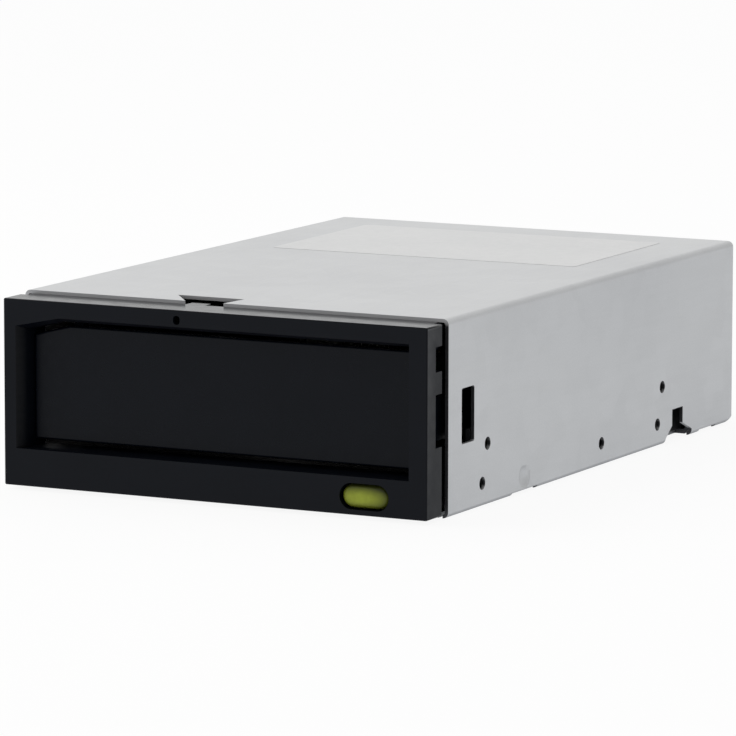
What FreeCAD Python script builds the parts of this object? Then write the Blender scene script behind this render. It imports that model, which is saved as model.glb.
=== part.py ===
import FreeCAD, Part
import math
import os

# Dock for removable disk cartridges, for a 3.5 inch drive bay.
# Millimetres. The bezel faces -Y, +X is to the right and +Z is up. The origin is the middle of
# the box that holds the drive, on the surface that it stands on.

# Overall size
WIDTH = 101.6
HEIGHT = 42.0
DEPTH = 160.0
HALF_WIDTH = WIDTH / 2
FRONT = -DEPTH / 2
BACK = DEPTH / 2

# Sheet metal of the cover, tray and rear panel
SCREW_HEAD_HEIGHT = 1.4
COVER_SHEET = 0.8
TRAY_SHEET = 1.0
BEND_RADIUS = 1.3
COVER_FRONT = FRONT + 9.6
COVER_BACK = BACK - SCREW_HEAD_HEIGHT
COVER_FLOOR = BEND_RADIUS
LID_UNDERSIDE = HEIGHT - COVER_SHEET
REAR_WINDOW_HALF = 44.0
REAR_LIP_FLOOR = 37.2
TRAY_HALF = 49.4
TRAY_FRONT = COVER_FRONT + 0.5
TRAY_WALL_TOP = 17.0
TRAY_WALL_FRONT = FRONT + 22.6
TRAY_WALL_BACK = 60.0
PANEL_BACK = COVER_BACK - COVER_SHEET
PANEL_FRONT = PANEL_BACK - TRAY_SHEET
PANEL_HALF = 49.0
PANEL_TOP = LID_UNDERSIDE - 0.6

# Side mounting holes: three low, two high, 60 and 90 apart
SIDE_HOLE_RADIUS = 1.4
TAPPED_RADIUS = 1.25
LOWER_HOLE_Z = 5.1
UPPER_HOLE_Z = 13.3
LOWER_HOLE_Y = FRONT + 25.9
UPPER_HOLE_Y = FRONT + 28.4
HOLE_STEP = 60.0
HOLE_SPAN = 90.0
SIDE_HOLES = [
    (LOWER_HOLE_Y, LOWER_HOLE_Z),
    (LOWER_HOLE_Y + HOLE_STEP, LOWER_HOLE_Z),
    (LOWER_HOLE_Y + HOLE_SPAN, LOWER_HOLE_Z),
    (UPPER_HOLE_Y, UPPER_HOLE_Z),
    (UPPER_HOLE_Y + HOLE_SPAN, UPPER_HOLE_Z),
]

# Side slot for the bezel's snap, and the cut-outs along the lower edge and its hem
SNAP_SLOT_FRONT = FRONT + 15.9
SNAP_SLOT_BACK = FRONT + 21.9
SNAP_SLOT_FLOOR = 14.8
SNAP_SLOT_TOP = 26.6
KEYHOLE_Y = FRONT + 126.9
KEYHOLE_HALF = 2.9
KEYHOLE_TOP = 7.4
KEYHOLE_SHOULDER = 3.7
KEYHOLE_MOUTH_FRONT = 6.4
KEYHOLE_MOUTH_BACK = 8.0
HEM_GAPS = [(FRONT + 40.9, FRONT + 53.4), (FRONT + 139.6, FRONT + 148.8)]
HEM_GAP_TOP = 0.65
SIDE_DEPTH = 46.0
DIMPLE_Y = FRONT + 46.5
DIMPLE_Z = 3.6
DIMPLE_SPHERE = 5.6
DIMPLE_DEPTH = 0.75

# Bezel and its keyed mouth
BEZEL_HALF = 50.6
BEZEL_FLOOR = 0.9
BEZEL_TOP = 41.3
BEZEL_BACK = FRONT + 6.9
BEZEL_FACE = 2.2
BEZEL_RIM = 1.6
MOUTH_HALF = 46.15
MOUTH_FLOOR = 9.0
MOUTH_TOP = 36.7
KEY_RUN = 9.15
KEY_DROP = 2.2
LEAD_IN_DEPTH = 3.0
LEAD_IN_LEFT = 1.5
LEAD_IN_RIGHT = 0.25
LEAD_IN_TOP = 1.0
COLLAR_WALL = 1.1
COLLAR_BACK = FRONT + 10.0
NOTCH_FRONT = FRONT + 4.0
SIDE_NOTCHES = [(15.6, 26.8), (31.5, 36.8)]
LID_NOTCH_MOUTH = (-11.5, -2.3)
LID_NOTCH_END = (-17.4, -1.35)
LID_NOTCH_DEPTH = 7.6
TONGUE = (-11.1, -6.6)
TONGUE_BACK = COVER_FRONT + 2.4
TOP_FLANGE_HALF = 48.6
SEAM = 0.25

# Flap door and its hinge
HINGE_Y = FRONT + 8.4
HINGE_Z = 37.4
DOOR_LEFT = -45.85
DOOR_RIGHT = 45.6
DOOR_FLOOR = 10.55
DOOR_TOP = 35.45
DOOR_FACE = FRONT + 5.0
DOOR_THICK = 1.8
KNUCKLE_RADIUS = 1.1
KNUCKLE_LEFT = -37.0
KNUCKLE_RIGHT = 45.4
HINGE_ARMS = [(KNUCKLE_LEFT, -34.8), (43.0, KNUCKLE_RIGHT)]
PIN_RADIUS = 0.6
RUNNING_GAP = 0.05
HINGE_BOSS_RADIUS = 1.8
HINGE_BOSS_LEFT = -43.5
HINGE_BOSS_RIGHT = 48.6
DOOR_SPRING_X = -32.0

# Eject button
BUTTON_X = 36.0
BUTTON_Z = 4.85
BUTTON_WIDTH = 11.1
BUTTON_HEIGHT = 5.2
BUTTON_GAP = 0.2
BUTTON_FACE = FRONT + 0.4
BUTTON_TRAVEL = 1.0
SLEEVE_BACK = FRONT + 6.1
STEM_RADIUS = 1.5
STEM_BACK = FRONT + 16.6

# Cartridge bay: deck and guide rails
DECK_FRONT = FRONT + 13.0
DECK_BACK = 44.0
DECK_TOP = MOUTH_FLOOR
DECK_SHEET = 1.2
DECK_HALF = 47.4
RUNNER_HEIGHT = 0.3
POST_RADIUS = 2.5
POST_X = 42.0
RAIL_FRONT = FRONT + 36.0
RAIL_BACK = 43.0
RAIL_TOP = 34.6
RAIL_MOUTH = 46.2
RAIL_INNER = 43.6
RAIL_LEAD_FRONT = -43.0
RAIL_LEAD_BACK = -35.0

# Cartridge lock above the bay, let go by a rod behind the hole in the bezel
RELEASE_X = -8.4
ROD_Z = 39.3
ROD_RADIUS = 0.5
ROD_FRONT = FRONT + 4.0
ROD_TRAVEL = 4.0
RELEASE_HOLE_WIDTH = 1.6
RELEASE_HOLE_FLOOR = 38.2
RELEASE_HOLE_TOP = 40.1
BRIDGE_FRONT = -12.0
BRIDGE_BACK = 22.0
BRIDGE_SHEET = 1.0
BRIDGE_TOP = RAIL_TOP + BRIDGE_SHEET
LOCK_Y = -2.0
LOCK_Z = 37.6
LOCK_PIN_RADIUS = 0.8
LEVER_HALF = 3.0
LEVER_HALF_THICK = 0.7
TAIL_REACH = 9.0
HOOK_REACH = 14.6
HOOK_FLOOR = 33.2
WEDGE_SLOPE = 0.27
WEDGE_GAP = 0.1
ROD_GUIDE_Y = -23.0

# Boards under the deck and behind the bay
BOARD_HALF = 39.0
BOARD_FRONT = FRONT + 19.0
BOARD_BACK = 75.5
BOARD_FLOOR = 2.6
BOARD_SHEET = 1.6
BOARD_TOP = BOARD_FLOOR + BOARD_SHEET
BOARD_SCREWS = [(-34.0, -52.0), (34.0, -52.0), (-34.0, 60.0), (34.0, 60.0)]
RISER_FRONT = 49.0
RISER_HALF = 23.0
RISER_TOP = 29.0
MEDIA_Z = 18.0
MEDIA_FRONT = 43.4
CONTACT_COUNT = 22
CONTACT_PITCH = 1.27

# Sockets in the rear panel
USB_X = 1.0
USB_WIDTH = 12.0
USB_TOP = 17.0
POWER_X = -25.0
POWER_WIDTH = 24.0
POWER_TOP = 9.4

# Fan behind the rear panel
FAN_X = 28.0
FAN_Z = 22.0
FAN_SIZE = 30.0
FAN_DEPTH = 10.0
FAN_BORE = 14.0
FAN_HOLE_STEP = 12.0
FAN_HUB = 6.5
FAN_TIP = 13.3
FAN_BLADES = 7
FAN_FRONT = PANEL_FRONT - FAN_DEPTH

# Eject drive: motor, gear train and rack
FRAME_LEFT = -47.0
FRAME_RIGHT = -7.5
FRAME_FRONT = 51.5
FRAME_BACK = 75.8
FRAME_SHEET = 1.2
FOOT_FLOOR = 10.0
FOOT_TOP = FOOT_FLOOR + FRAME_SHEET
SHELF_FLOOR = 29.0
SHELF_TOP = SHELF_FLOOR + FRAME_SHEET
FRAME_POSTS = [(-44.0, 54.6), (-44.0, 71.8), (-9.5, 54.6), (-9.5, 71.8)]
FRAME_POST_RADIUS = 2.2
GEAR_X = -30.0
GEAR_Y = 58.0
PRESSURE_ANGLE = math.radians(20)
FINE_MODULE = 0.5
MOTOR_TEETH = 12
WHEEL_TEETH = 48
RACK_MODULE = 0.8
RACK_PINION_TEETH = 15
BACKLASH = 0.16
MOTOR_ANGLE = math.radians(30)
MOTOR_RADIUS = 7.6
MOTOR_FLOOR = 12.0
MOTOR_SCREW_RADIUS = 5.5
GEAR_SHAFT_RADIUS = 1.5
MOTOR_SHAFT_RADIUS = 0.75
WHEEL_FLOOR = 31.0
WHEEL_THICK = 2.0
RACK_FLOOR = 12.5
RACK_THICK = 5.0
SLIDER_FRONT = 43.8
SLIDER_BACK = 76.2
SLIDER_LEFT = -40.6
CENTRE_DISTANCE = FINE_MODULE * (MOTOR_TEETH + WHEEL_TEETH) / 2
MOTOR_X = GEAR_X + CENTRE_DISTANCE * math.cos(MOTOR_ANGLE)
MOTOR_Y = GEAR_Y + CENTRE_DISTANCE * math.sin(MOTOR_ANGLE)

X_AXIS = FreeCAD.Vector(1, 0, 0)
Y_AXIS = FreeCAD.Vector(0, 1, 0)
Z_AXIS = FreeCAD.Vector(0, 0, 1)


# Shared shapes

def block(x0, x1, y0, y1, z0, z1):
    return Part.makeBox(x1 - x0, y1 - y0, z1 - z0, FreeCAD.Vector(x0, y0, z0))


def bar_x(x0, x1, y, z, radius):
    return Part.makeCylinder(radius, x1 - x0, FreeCAD.Vector(x0, y, z), X_AXIS)


def bar_y(x, z, y0, y1, radius):
    return Part.makeCylinder(radius, y1 - y0, FreeCAD.Vector(x, y0, z), Y_AXIS)


def bar_z(x, y, z0, z1, radius):
    return Part.makeCylinder(radius, z1 - z0, FreeCAD.Vector(x, y, z0), Z_AXIS)


def prism(points, direction):
    wire = Part.makePolygon(points + points[:1])
    return Part.Face(wire).extrude(direction)


def prism_x(points, x0, x1):
    return prism([FreeCAD.Vector(x0, y, z) for y, z in points], X_AXIS * (x1 - x0))


def prism_y(points, y0, y1):
    return prism([FreeCAD.Vector(x, y0, z) for x, z in points], Y_AXIS * (y1 - y0))


def prism_z(points, z0, z1):
    return prism([FreeCAD.Vector(x, y, z0) for x, y in points], Z_AXIS * (z1 - z0))


def oval_y(x, z, width, height, y0, y1):
    """A bar along Y with rounded ends, wider than it is tall."""
    reach = (width - height) / 2
    middle = block(x - reach, x + reach, y0, y1, z - height / 2, z + height / 2)
    ends = [bar_y(x + side * reach, z, y0, y1, height / 2) for side in (-1, 1)]
    return fuse(middle, *ends)


def fuse(first, *others):
    return first.fuse(list(others)).removeSplitter()


def cut(shape, *tools):
    return shape.cut(list(tools))


def round_edges(shape, radius, chosen):
    return shape.makeFillet(radius, [edge for edge in shape.Edges if chosen(edge)])


def bevel_edges(shape, size, chosen):
    return shape.makeChamfer(size, [edge for edge in shape.Edges if chosen(edge)])


def lies_along(edge, axis):
    first, last = edge.Vertexes[0].Point, edge.Vertexes[-1].Point
    return abs(abs((last - first).normalize().dot(axis)) - 1) < 1e-6


def mirrored(shape):
    return shape.mirror(FreeCAD.Vector(0, 0, 0), X_AXIS)


def pan_screw(start, direction, head_radius, head_height, shank_radius, shank_length):
    """A bevelled round head that sits on start, with its shank along direction."""
    bevel = head_height * 0.4
    head = Part.makeCylinder(head_radius, head_height - bevel, start, -direction)
    shoulder = start - direction * (head_height - bevel)
    crown = Part.makeCone(head_radius, head_radius - bevel, bevel, shoulder, -direction)
    return fuse(head, crown, Part.makeCylinder(shank_radius, shank_length, start, direction))


def hex_screw(x, y, z, head_radius, head_height, shank_radius, shank_length):
    """A six-sided head that sits at height z, with its shank pointing down."""
    corners = []
    for index in range(6):
        angle = math.radians(60 * index)
        corners.append((x + head_radius * math.cos(angle), y + head_radius * math.sin(angle)))
    head = prism_z(corners, z, z + head_height)
    return fuse(head, bar_z(x, y, z - shank_length, z, shank_radius))


def coil(radius, wire_radius, pitch, turns):
    """A helical spring that stands on the origin along Z."""
    helix = Part.makeHelix(pitch, pitch * turns, radius)
    corners = []
    for index in range(7):
        angle = math.radians(60 * index)
        out, up = wire_radius * math.cos(angle), wire_radius * math.sin(angle)
        corners.append(FreeCAD.Vector(radius + out, 0, up))
    section = Part.makePolygon(corners)
    return Part.Wire(helix.Edges).makePipeShell([section], True, True)


def turned(shape, axis, x, y, z):
    """Stand a shape made along Z on a point, along another axis."""
    moved = shape.copy()
    moved.Placement = FreeCAD.Placement(FreeCAD.Vector(x, y, z), FreeCAD.Rotation(Z_AXIS, axis))
    return moved


# Sheet metal shell

def bent_box(inset):
    """The cover's outline, or its inside when set in by the sheet."""
    side = HALF_WIDTH - inset
    rear = COVER_BACK - inset
    top = HEIGHT - inset
    box = block(-side, side, COVER_FRONT - inset, rear, COVER_FLOOR - inset, top)

    def bent(edge):
        middle = edge.CenterOfMass
        meets = [abs(abs(middle.x) - side), abs(middle.y - rear), abs(middle.z - top)]
        return sum(distance < 0.01 for distance in meets) == 2

    return round_edges(box, BEND_RADIUS - inset, bent)


def both_sides(tool):
    return [tool, mirrored(tool)]


def snap_slots():
    slot = block(SIDE_DEPTH, WIDTH, SNAP_SLOT_FRONT, SNAP_SLOT_BACK, SNAP_SLOT_FLOOR, SNAP_SLOT_TOP)
    return both_sides(round_edges(slot, 0.5, lambda edge: lies_along(edge, X_AXIS)))


def keyholes():
    """Slots that flare to a wide mouth at the lower edge."""
    return both_sides(prism_x([
        (KEYHOLE_Y - KEYHOLE_HALF, KEYHOLE_TOP),
        (KEYHOLE_Y + KEYHOLE_HALF, KEYHOLE_TOP),
        (KEYHOLE_Y + KEYHOLE_HALF, KEYHOLE_SHOULDER),
        (KEYHOLE_Y + KEYHOLE_MOUTH_BACK, 1.6),
        (KEYHOLE_Y + KEYHOLE_MOUTH_BACK, -1.0),
        (KEYHOLE_Y - KEYHOLE_MOUTH_FRONT, -1.0),
        (KEYHOLE_Y - KEYHOLE_MOUTH_FRONT, 1.2),
        (KEYHOLE_Y - KEYHOLE_HALF, KEYHOLE_SHOULDER),
    ], SIDE_DEPTH, WIDTH))


def lower_hem():
    """Quarter bend that turns the lower edge of the right-hand wall inwards."""
    axis = HALF_WIDTH - BEND_RADIUS
    rear = COVER_BACK - BEND_RADIUS
    outside = bar_y(axis, COVER_FLOOR, COVER_FRONT, rear, BEND_RADIUS)
    inside = bar_y(axis, COVER_FLOOR, COVER_FRONT, rear, BEND_RADIUS - COVER_SHEET)
    return cut(outside, inside).common(block(axis, HALF_WIDTH, COVER_FRONT, rear, 0, COVER_FLOOR))


def lower_edge_cuts():
    """Gaps in the hem, and the clipped rear corner of each side wall."""
    gaps = [block(SIDE_DEPTH, WIDTH, y0, y1, -1.0, HEM_GAP_TOP) for y0, y1 in HEM_GAPS]
    rear_corner = prism_x([
        (COVER_BACK - 3.4, -1.0),
        (COVER_BACK - 3.4, 0.1),
        (COVER_BACK + 0.1, 1.9),
        (COVER_BACK + 0.1, -1.0),
    ], SIDE_DEPTH, WIDTH)
    return [tool for half in gaps + [rear_corner] for tool in both_sides(half)]


def cover_screw_places():
    return [(side * 47.2, z) for side in (-1, 1) for z in (11.0, 31.0)]


def lid_notch():
    """Notch in the lid's front edge, wider inside than at its mouth."""
    left, right = LID_NOTCH_MOUTH
    end_left, end_right = LID_NOTCH_END
    return prism_z([
        (left, COVER_FRONT),
        (end_left, COVER_FRONT + LID_NOTCH_DEPTH),
        (end_right, COVER_FRONT + LID_NOTCH_DEPTH),
        (right, COVER_FRONT),
    ], LID_UNDERSIDE - 1.0, HEIGHT + 1.0)


def top_cover():
    shell = cut(bent_box(0), bent_box(COVER_SHEET), lid_notch())
    shell = fuse(shell, *both_sides(lower_hem()))
    press_x = HALF_WIDTH + DIMPLE_SPHERE - DIMPLE_DEPTH
    for side in (-1, 1):
        centre = FreeCAD.Vector(side * press_x, DIMPLE_Y, DIMPLE_Z)
        bump = Part.makeSphere(DIMPLE_SPHERE + COVER_SHEET, centre)
        wall = sorted([side * (HALF_WIDTH - 1.3), side * (HALF_WIDTH - COVER_SHEET / 2)])
        bump = bump.common(block(*wall, DIMPLE_Y - 9, DIMPLE_Y + 9, COVER_FLOOR, DIMPLE_Z + 9))
        shell = fuse(shell, bump).cut(Part.makeSphere(DIMPLE_SPHERE, centre))
    tools = snap_slots() + keyholes() + lower_edge_cuts()
    tools += [bar_x(-WIDTH, WIDTH, y, z, SIDE_HOLE_RADIUS) for y, z in SIDE_HOLES]
    tools += [bar_y(x, z, PANEL_FRONT, BACK, 1.35) for x, z in cover_screw_places()]
    tools.append(block(-REAR_WINDOW_HALF, REAR_WINDOW_HALF, PANEL_FRONT, BACK, -1.0, REAR_LIP_FLOOR))
    return cut(shell, *tools)


def base_tray():
    channel = block(-TRAY_HALF, TRAY_HALF, TRAY_WALL_FRONT, TRAY_WALL_BACK, 0, TRAY_WALL_TOP)
    channel = round_edges(channel, 1.5, lambda edge: lies_along(edge, Y_AXIS) and edge.CenterOfMass.z < 1)
    inner_half = TRAY_HALF - TRAY_SHEET
    hollow = block(-inner_half, inner_half, TRAY_WALL_FRONT - 1, TRAY_WALL_BACK + 1, TRAY_SHEET, HEIGHT)
    hollow = round_edges(hollow, 0.5, lambda edge: lies_along(edge, Y_AXIS) and edge.CenterOfMass.z < 2)
    floor = block(-inner_half, inner_half, TRAY_FRONT, PANEL_BACK - 0.2, 0, TRAY_SHEET)
    tray = fuse(channel.cut(hollow), floor)
    # Two pressed beads along the floor, of the same sheet all round
    bead_radius = 3.0
    bead_centre = 0.6 - bead_radius
    for x in (-16.0, 16.0):
        bead = bar_y(x, bead_centre, -45.0, 30.0, bead_radius + TRAY_SHEET)
        bead = bead.common(block(x - 9, x + 9, -45.0, 30.0, 0, 5))
        tray = fuse(tray, bead).cut(bar_y(x, bead_centre, -46.0, 31.0, bead_radius))
    # The walls stop clear of the cover's flared slots
    tools = both_sides(block(SIDE_DEPTH, WIDTH, KEYHOLE_Y - 7.0, KEYHOLE_Y + 9.5, -1.0, KEYHOLE_TOP + 1.1))
    tools += [bar_x(-WIDTH, WIDTH, y, z, TAPPED_RADIUS) for y, z in SIDE_HOLES]
    tools += [vent_slot(x, 36.0, 50.0) for x in range(-28, 29, 8)]
    return cut(tray, *tools)


def vent_slot(x, y0, y1):
    slot = block(x - 1.2, x + 1.2, y0, y1, -1, TRAY_SHEET + 1)
    return round_edges(slot, 1.1, lambda edge: lies_along(edge, Z_AXIS))


def grille():
    """Ring slots of the fan grille, with four spokes left between them."""
    spokes = []
    for angle in (45, 135):
        spoke = block(-FAN_BORE, FAN_BORE, PANEL_FRONT - 1, BACK, -0.9, 0.9)
        spoke.rotate(FreeCAD.Vector(0, 0, 0), Y_AXIS, angle)
        spoke.translate(FreeCAD.Vector(FAN_X, 0, FAN_Z))
        spokes.append(spoke)
    rings = []
    for inner, outer in ((3.4, 6.4), (7.8, 10.2), (11.6, 13.6)):
        ring = bar_y(FAN_X, FAN_Z, PANEL_FRONT - 1, BACK, outer)
        rings.append(cut(ring, bar_y(FAN_X, FAN_Z, PANEL_FRONT - 1, BACK, inner), *spokes))
    return rings


def fan_hole_places():
    steps = (-FAN_HOLE_STEP, FAN_HOLE_STEP)
    return [(FAN_X + dx, FAN_Z + dz) for dx in steps for dz in steps]


def rear_panel():
    panel = block(-PANEL_HALF, PANEL_HALF, PANEL_FRONT, PANEL_BACK, TRAY_SHEET, PANEL_TOP)
    panel = round_edges(panel, 1.5, lambda edge: lies_along(edge, Y_AXIS) and edge.CenterOfMass.z > 30)
    feet = [block(x - 10, x + 10, PANEL_BACK - 8, PANEL_BACK, TRAY_SHEET, 2 * TRAY_SHEET) for x in (-26, 30)]
    panel = fuse(panel, *feet)
    tools = grille()
    tools += [bar_y(x, z, PANEL_FRONT - 1, BACK, SIDE_HOLE_RADIUS) for x, z in fan_hole_places()]
    tools += [bar_y(x, z, PANEL_FRONT - 1, BACK, TAPPED_RADIUS) for x, z in cover_screw_places()]
    tools.append(block(USB_X - USB_WIDTH / 2 - 0.2, USB_X + USB_WIDTH / 2 + 0.2,
                       PANEL_FRONT - 1, BACK, BOARD_FLOOR, USB_TOP + 0.2))
    tools.append(block(POWER_X - POWER_WIDTH / 2 - 0.2, POWER_X + POWER_WIDTH / 2 + 0.2,
                       PANEL_FRONT - 1, BACK, BOARD_FLOOR, POWER_TOP + 0.2))
    return cut(panel, *tools)


def cover_screws():
    return Part.makeCompound([
        pan_screw(FreeCAD.Vector(x, COVER_BACK, z), -Y_AXIS, 2.4, SCREW_HEAD_HEIGHT, 1.2, 2.6)
        for x, z in cover_screw_places()
    ])


# Bezel, door and button

def mouth_outline(left, right, top, floor):
    """The keyed outline that a cartridge fits through, grown on each side."""
    return [
        (-MOUTH_HALF - left, MOUTH_FLOOR - floor),
        (MOUTH_HALF + right, MOUTH_FLOOR - floor),
        (MOUTH_HALF + right, MOUTH_TOP + top),
        (-MOUTH_HALF + KEY_RUN, MOUTH_TOP + top),
        (-MOUTH_HALF - left, MOUTH_TOP + top - KEY_DROP),
    ]


def mouth(y0, y1, grow):
    return prism_y(mouth_outline(grow, grow, grow, grow), y0, y1)


def lead_in():
    """Slopes from the bezel's face to the left, right and upper walls of the mouth."""
    front = mouth_outline(LEAD_IN_LEFT, LEAD_IN_RIGHT, LEAD_IN_TOP, 0)
    back = mouth_outline(0, 0, 0, 0)
    rings = []
    for outline, y in ((front, FRONT), (back, FRONT + LEAD_IN_DEPTH)):
        corners = [FreeCAD.Vector(x, y, z) for x, z in outline]
        rings.append(Part.makePolygon(corners + corners[:1]))
    return Part.makeLoft(rings, True, True)


def snap_arm():
    """Right-hand spring arm whose barb catches the front edge of the cover's slot."""
    arm_inside, arm_outside, barb_tip = 46.9, 48.4, 50.3
    barb_front = SNAP_SLOT_FRONT + 0.3
    arm_back = SNAP_SLOT_FRONT + 2.6
    arm = block(arm_inside, arm_outside, FRONT + BEZEL_FACE - 0.5, arm_back, 16.4, 25.6)
    barb = prism_z([
        (arm_outside - 0.2, barb_front),
        (barb_tip, barb_front),
        (barb_tip, barb_front + 0.6),
        (arm_outside - 0.2, arm_back),
    ], 16.4, 25.6)
    return fuse(arm, barb)


def bezel_rim():
    """The outer frame, open at the back, with the clearance notches of its side walls."""
    body = block(-BEZEL_HALF, BEZEL_HALF, FRONT, BEZEL_BACK, BEZEL_FLOOR, BEZEL_TOP)
    body = round_edges(body, 0.35, lambda edge: lies_along(edge, Y_AXIS))
    body = round_edges(body, 0.3, lambda edge: abs(edge.CenterOfMass.y - FRONT) < 0.01)
    hollow = block(-BEZEL_HALF + BEZEL_RIM, BEZEL_HALF - BEZEL_RIM, FRONT + BEZEL_FACE, BEZEL_BACK + 1,
                   BEZEL_FLOOR + BEZEL_RIM, BEZEL_TOP - BEZEL_RIM)
    notches = [block(-WIDTH, WIDTH, NOTCH_FRONT, BEZEL_BACK + 1, z0, z1) for z0, z1 in SIDE_NOTCHES]
    rear_half = block(-WIDTH, WIDTH, FRONT + BEZEL_FACE, BEZEL_BACK + 1, 0, HEIGHT)
    return cut(body, hollow, *[notch.common(rear_half) for notch in notches])


def front_bezel():
    collar = mouth(FRONT + 1.0, COLLAR_BACK, COLLAR_WALL)
    hinge_room = block(KNUCKLE_LEFT - 0.9, MOUTH_HALF, HINGE_Y - 1.8, COLLAR_BACK + 1, MOUTH_TOP - 1, HEIGHT)
    collar = cut(collar, hinge_room)
    bosses = [
        bar_x(HINGE_BOSS_LEFT, KNUCKLE_LEFT - 1.0, HINGE_Y, HINGE_Z, HINGE_BOSS_RADIUS),
        bar_x(MOUTH_HALF, HINGE_BOSS_RIGHT, HINGE_Y, HINGE_Z, HINGE_BOSS_RADIUS),
    ]
    sleeve = oval_y(BUTTON_X, BUTTON_Z, BUTTON_WIDTH + 2.0, BUTTON_HEIGHT + 2.0, FRONT + 1.0, SLEEVE_BACK)
    release_boss = block(RELEASE_X - 2.1, RELEASE_X + 2.1, FRONT + 1.0, HINGE_Y - 1.9,
                         MOUTH_TOP + 0.4, BEZEL_TOP - 0.5)
    top_flange = block(-TOP_FLANGE_HALF, TOP_FLANGE_HALF, BEZEL_BACK - 1.0, COVER_FRONT - SEAM,
                       BEZEL_TOP - BEZEL_RIM, BEZEL_TOP)
    tongue = block(*TONGUE, BEZEL_BACK - 1.0, TONGUE_BACK, BEZEL_TOP - 1.0, BEZEL_TOP)
    tabs = [block(x - 6, x + 6, BEZEL_BACK - 1.0, DECK_FRONT - 0.6, 1.15, 2.35) for x in (-26, 12)]
    arm = snap_arm()
    bezel = fuse(bezel_rim(), collar, *bosses, sleeve, release_boss, top_flange, tongue, *tabs,
                 arm, mirrored(arm))
    pin_hole = bar_x(HINGE_BOSS_LEFT + 0.5, HINGE_BOSS_RIGHT - 0.5, HINGE_Y, HINGE_Z,
                     PIN_RADIUS + RUNNING_GAP)
    button_hole = oval_y(BUTTON_X, BUTTON_Z, BUTTON_WIDTH + 2 * BUTTON_GAP, BUTTON_HEIGHT + 2 * BUTTON_GAP,
                         FRONT - 1, COLLAR_BACK)
    release_hole = block(RELEASE_X - RELEASE_HOLE_WIDTH / 2, RELEASE_X + RELEASE_HOLE_WIDTH / 2,
                         FRONT - 1, COVER_FRONT, RELEASE_HOLE_FLOOR, RELEASE_HOLE_TOP)
    release_hole = round_edges(release_hole, RELEASE_HOLE_WIDTH * 0.45, lambda edge: lies_along(edge, Y_AXIS))
    opening = mouth(FRONT - 1, COLLAR_BACK + 1, 0)
    return cut(bezel, opening, lead_in(), pin_hole, button_hole, release_hole)


def flap_door():
    """Panel with a keyed corner, two arms that reach back to the hinge, and ribs on its back."""
    back = DOOR_FACE + DOOR_THICK
    panel = prism_y([
        (DOOR_LEFT, DOOR_FLOOR),
        (DOOR_RIGHT, DOOR_FLOOR),
        (DOOR_RIGHT, DOOR_TOP),
        (KNUCKLE_LEFT, DOOR_TOP),
        (DOOR_LEFT, DOOR_TOP - KEY_DROP),
    ], DOOR_FACE, back)
    panel = round_edges(panel, 0.5, lambda edge: abs(edge.CenterOfMass.y - DOOR_FACE) < 0.01)
    arm_outline = [
        (back - 0.3, DOOR_TOP - 2.8),
        (HINGE_Y + 0.5, DOOR_TOP - 1.4),
        (HINGE_Y + 0.5, HINGE_Z),
        (HINGE_Y - 0.5, HINGE_Z),
        (back - 0.3, DOOR_TOP - 0.6),
    ]
    arms = []
    for left, right in HINGE_ARMS:
        arms.append(prism_x(arm_outline, left, right))
        arms.append(bar_x(left, right, HINGE_Y, HINGE_Z, KNUCKLE_RADIUS))
    ribs = [block(x - 0.6, x + 0.6, back - 0.2, back + 0.6, DOOR_FLOOR + 2, DOOR_TOP) for x in (-34, 10, 34)]
    door = fuse(panel, *arms, *ribs)
    pin_hole = bar_x(-WIDTH, WIDTH, HINGE_Y, HINGE_Z, PIN_RADIUS)
    return cut(door, pin_hole)


def door_hinge_pin():
    return bar_x(HINGE_BOSS_LEFT + 0.6, HINGE_BOSS_RIGHT - 0.6, HINGE_Y, HINGE_Z, PIN_RADIUS)


def door_spring():
    """Torsion spring round the hinge pin, with a leg against the bezel's top bar."""
    radius, wire_radius, pitch, turns = 1.05, 0.2, 0.8, 4
    start = DOOR_SPRING_X - pitch * turns / 2
    wound = turned(coil(radius, wire_radius, pitch, turns), X_AXIS, start, HINGE_Y, HINGE_Z)
    leg = bar_y(start, HINGE_Z + radius, HINGE_Y - 2.4, HINGE_Y, wire_radius)
    return Part.makeCompound([wound, leg])


def eject_button():
    """Domed oval cap on a stem, with a flange that stops it behind the bezel."""
    cap = oval_y(BUTTON_X, BUTTON_Z, BUTTON_WIDTH, BUTTON_HEIGHT, BUTTON_FACE, SLEEVE_BACK + 0.2)
    cap = round_edges(cap, 1.4, lambda edge: abs(edge.CenterOfMass.y - BUTTON_FACE) < 0.01)
    flange = oval_y(BUTTON_X, BUTTON_Z, BUTTON_WIDTH + 2.4, BUTTON_HEIGHT - 1.0,
                    SLEEVE_BACK + 0.2, SLEEVE_BACK + 1.2)
    stem = bar_y(BUTTON_X, BUTTON_Z, SLEEVE_BACK + 1.0, STEM_BACK, STEM_RADIUS)
    return fuse(cap, flange, stem)


def button_spring():
    front = SLEEVE_BACK + 1.45
    pitch, turns = 1.3, 4
    return turned(coil(2.1, 0.22, pitch, turns), Y_AXIS, BUTTON_X, front, BUTTON_Z)


# Cartridge bay

def post_places():
    return [(side * POST_X, y) for side in (-1, 1) for y in (-50.0, -5.0, 38.0)]


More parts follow.
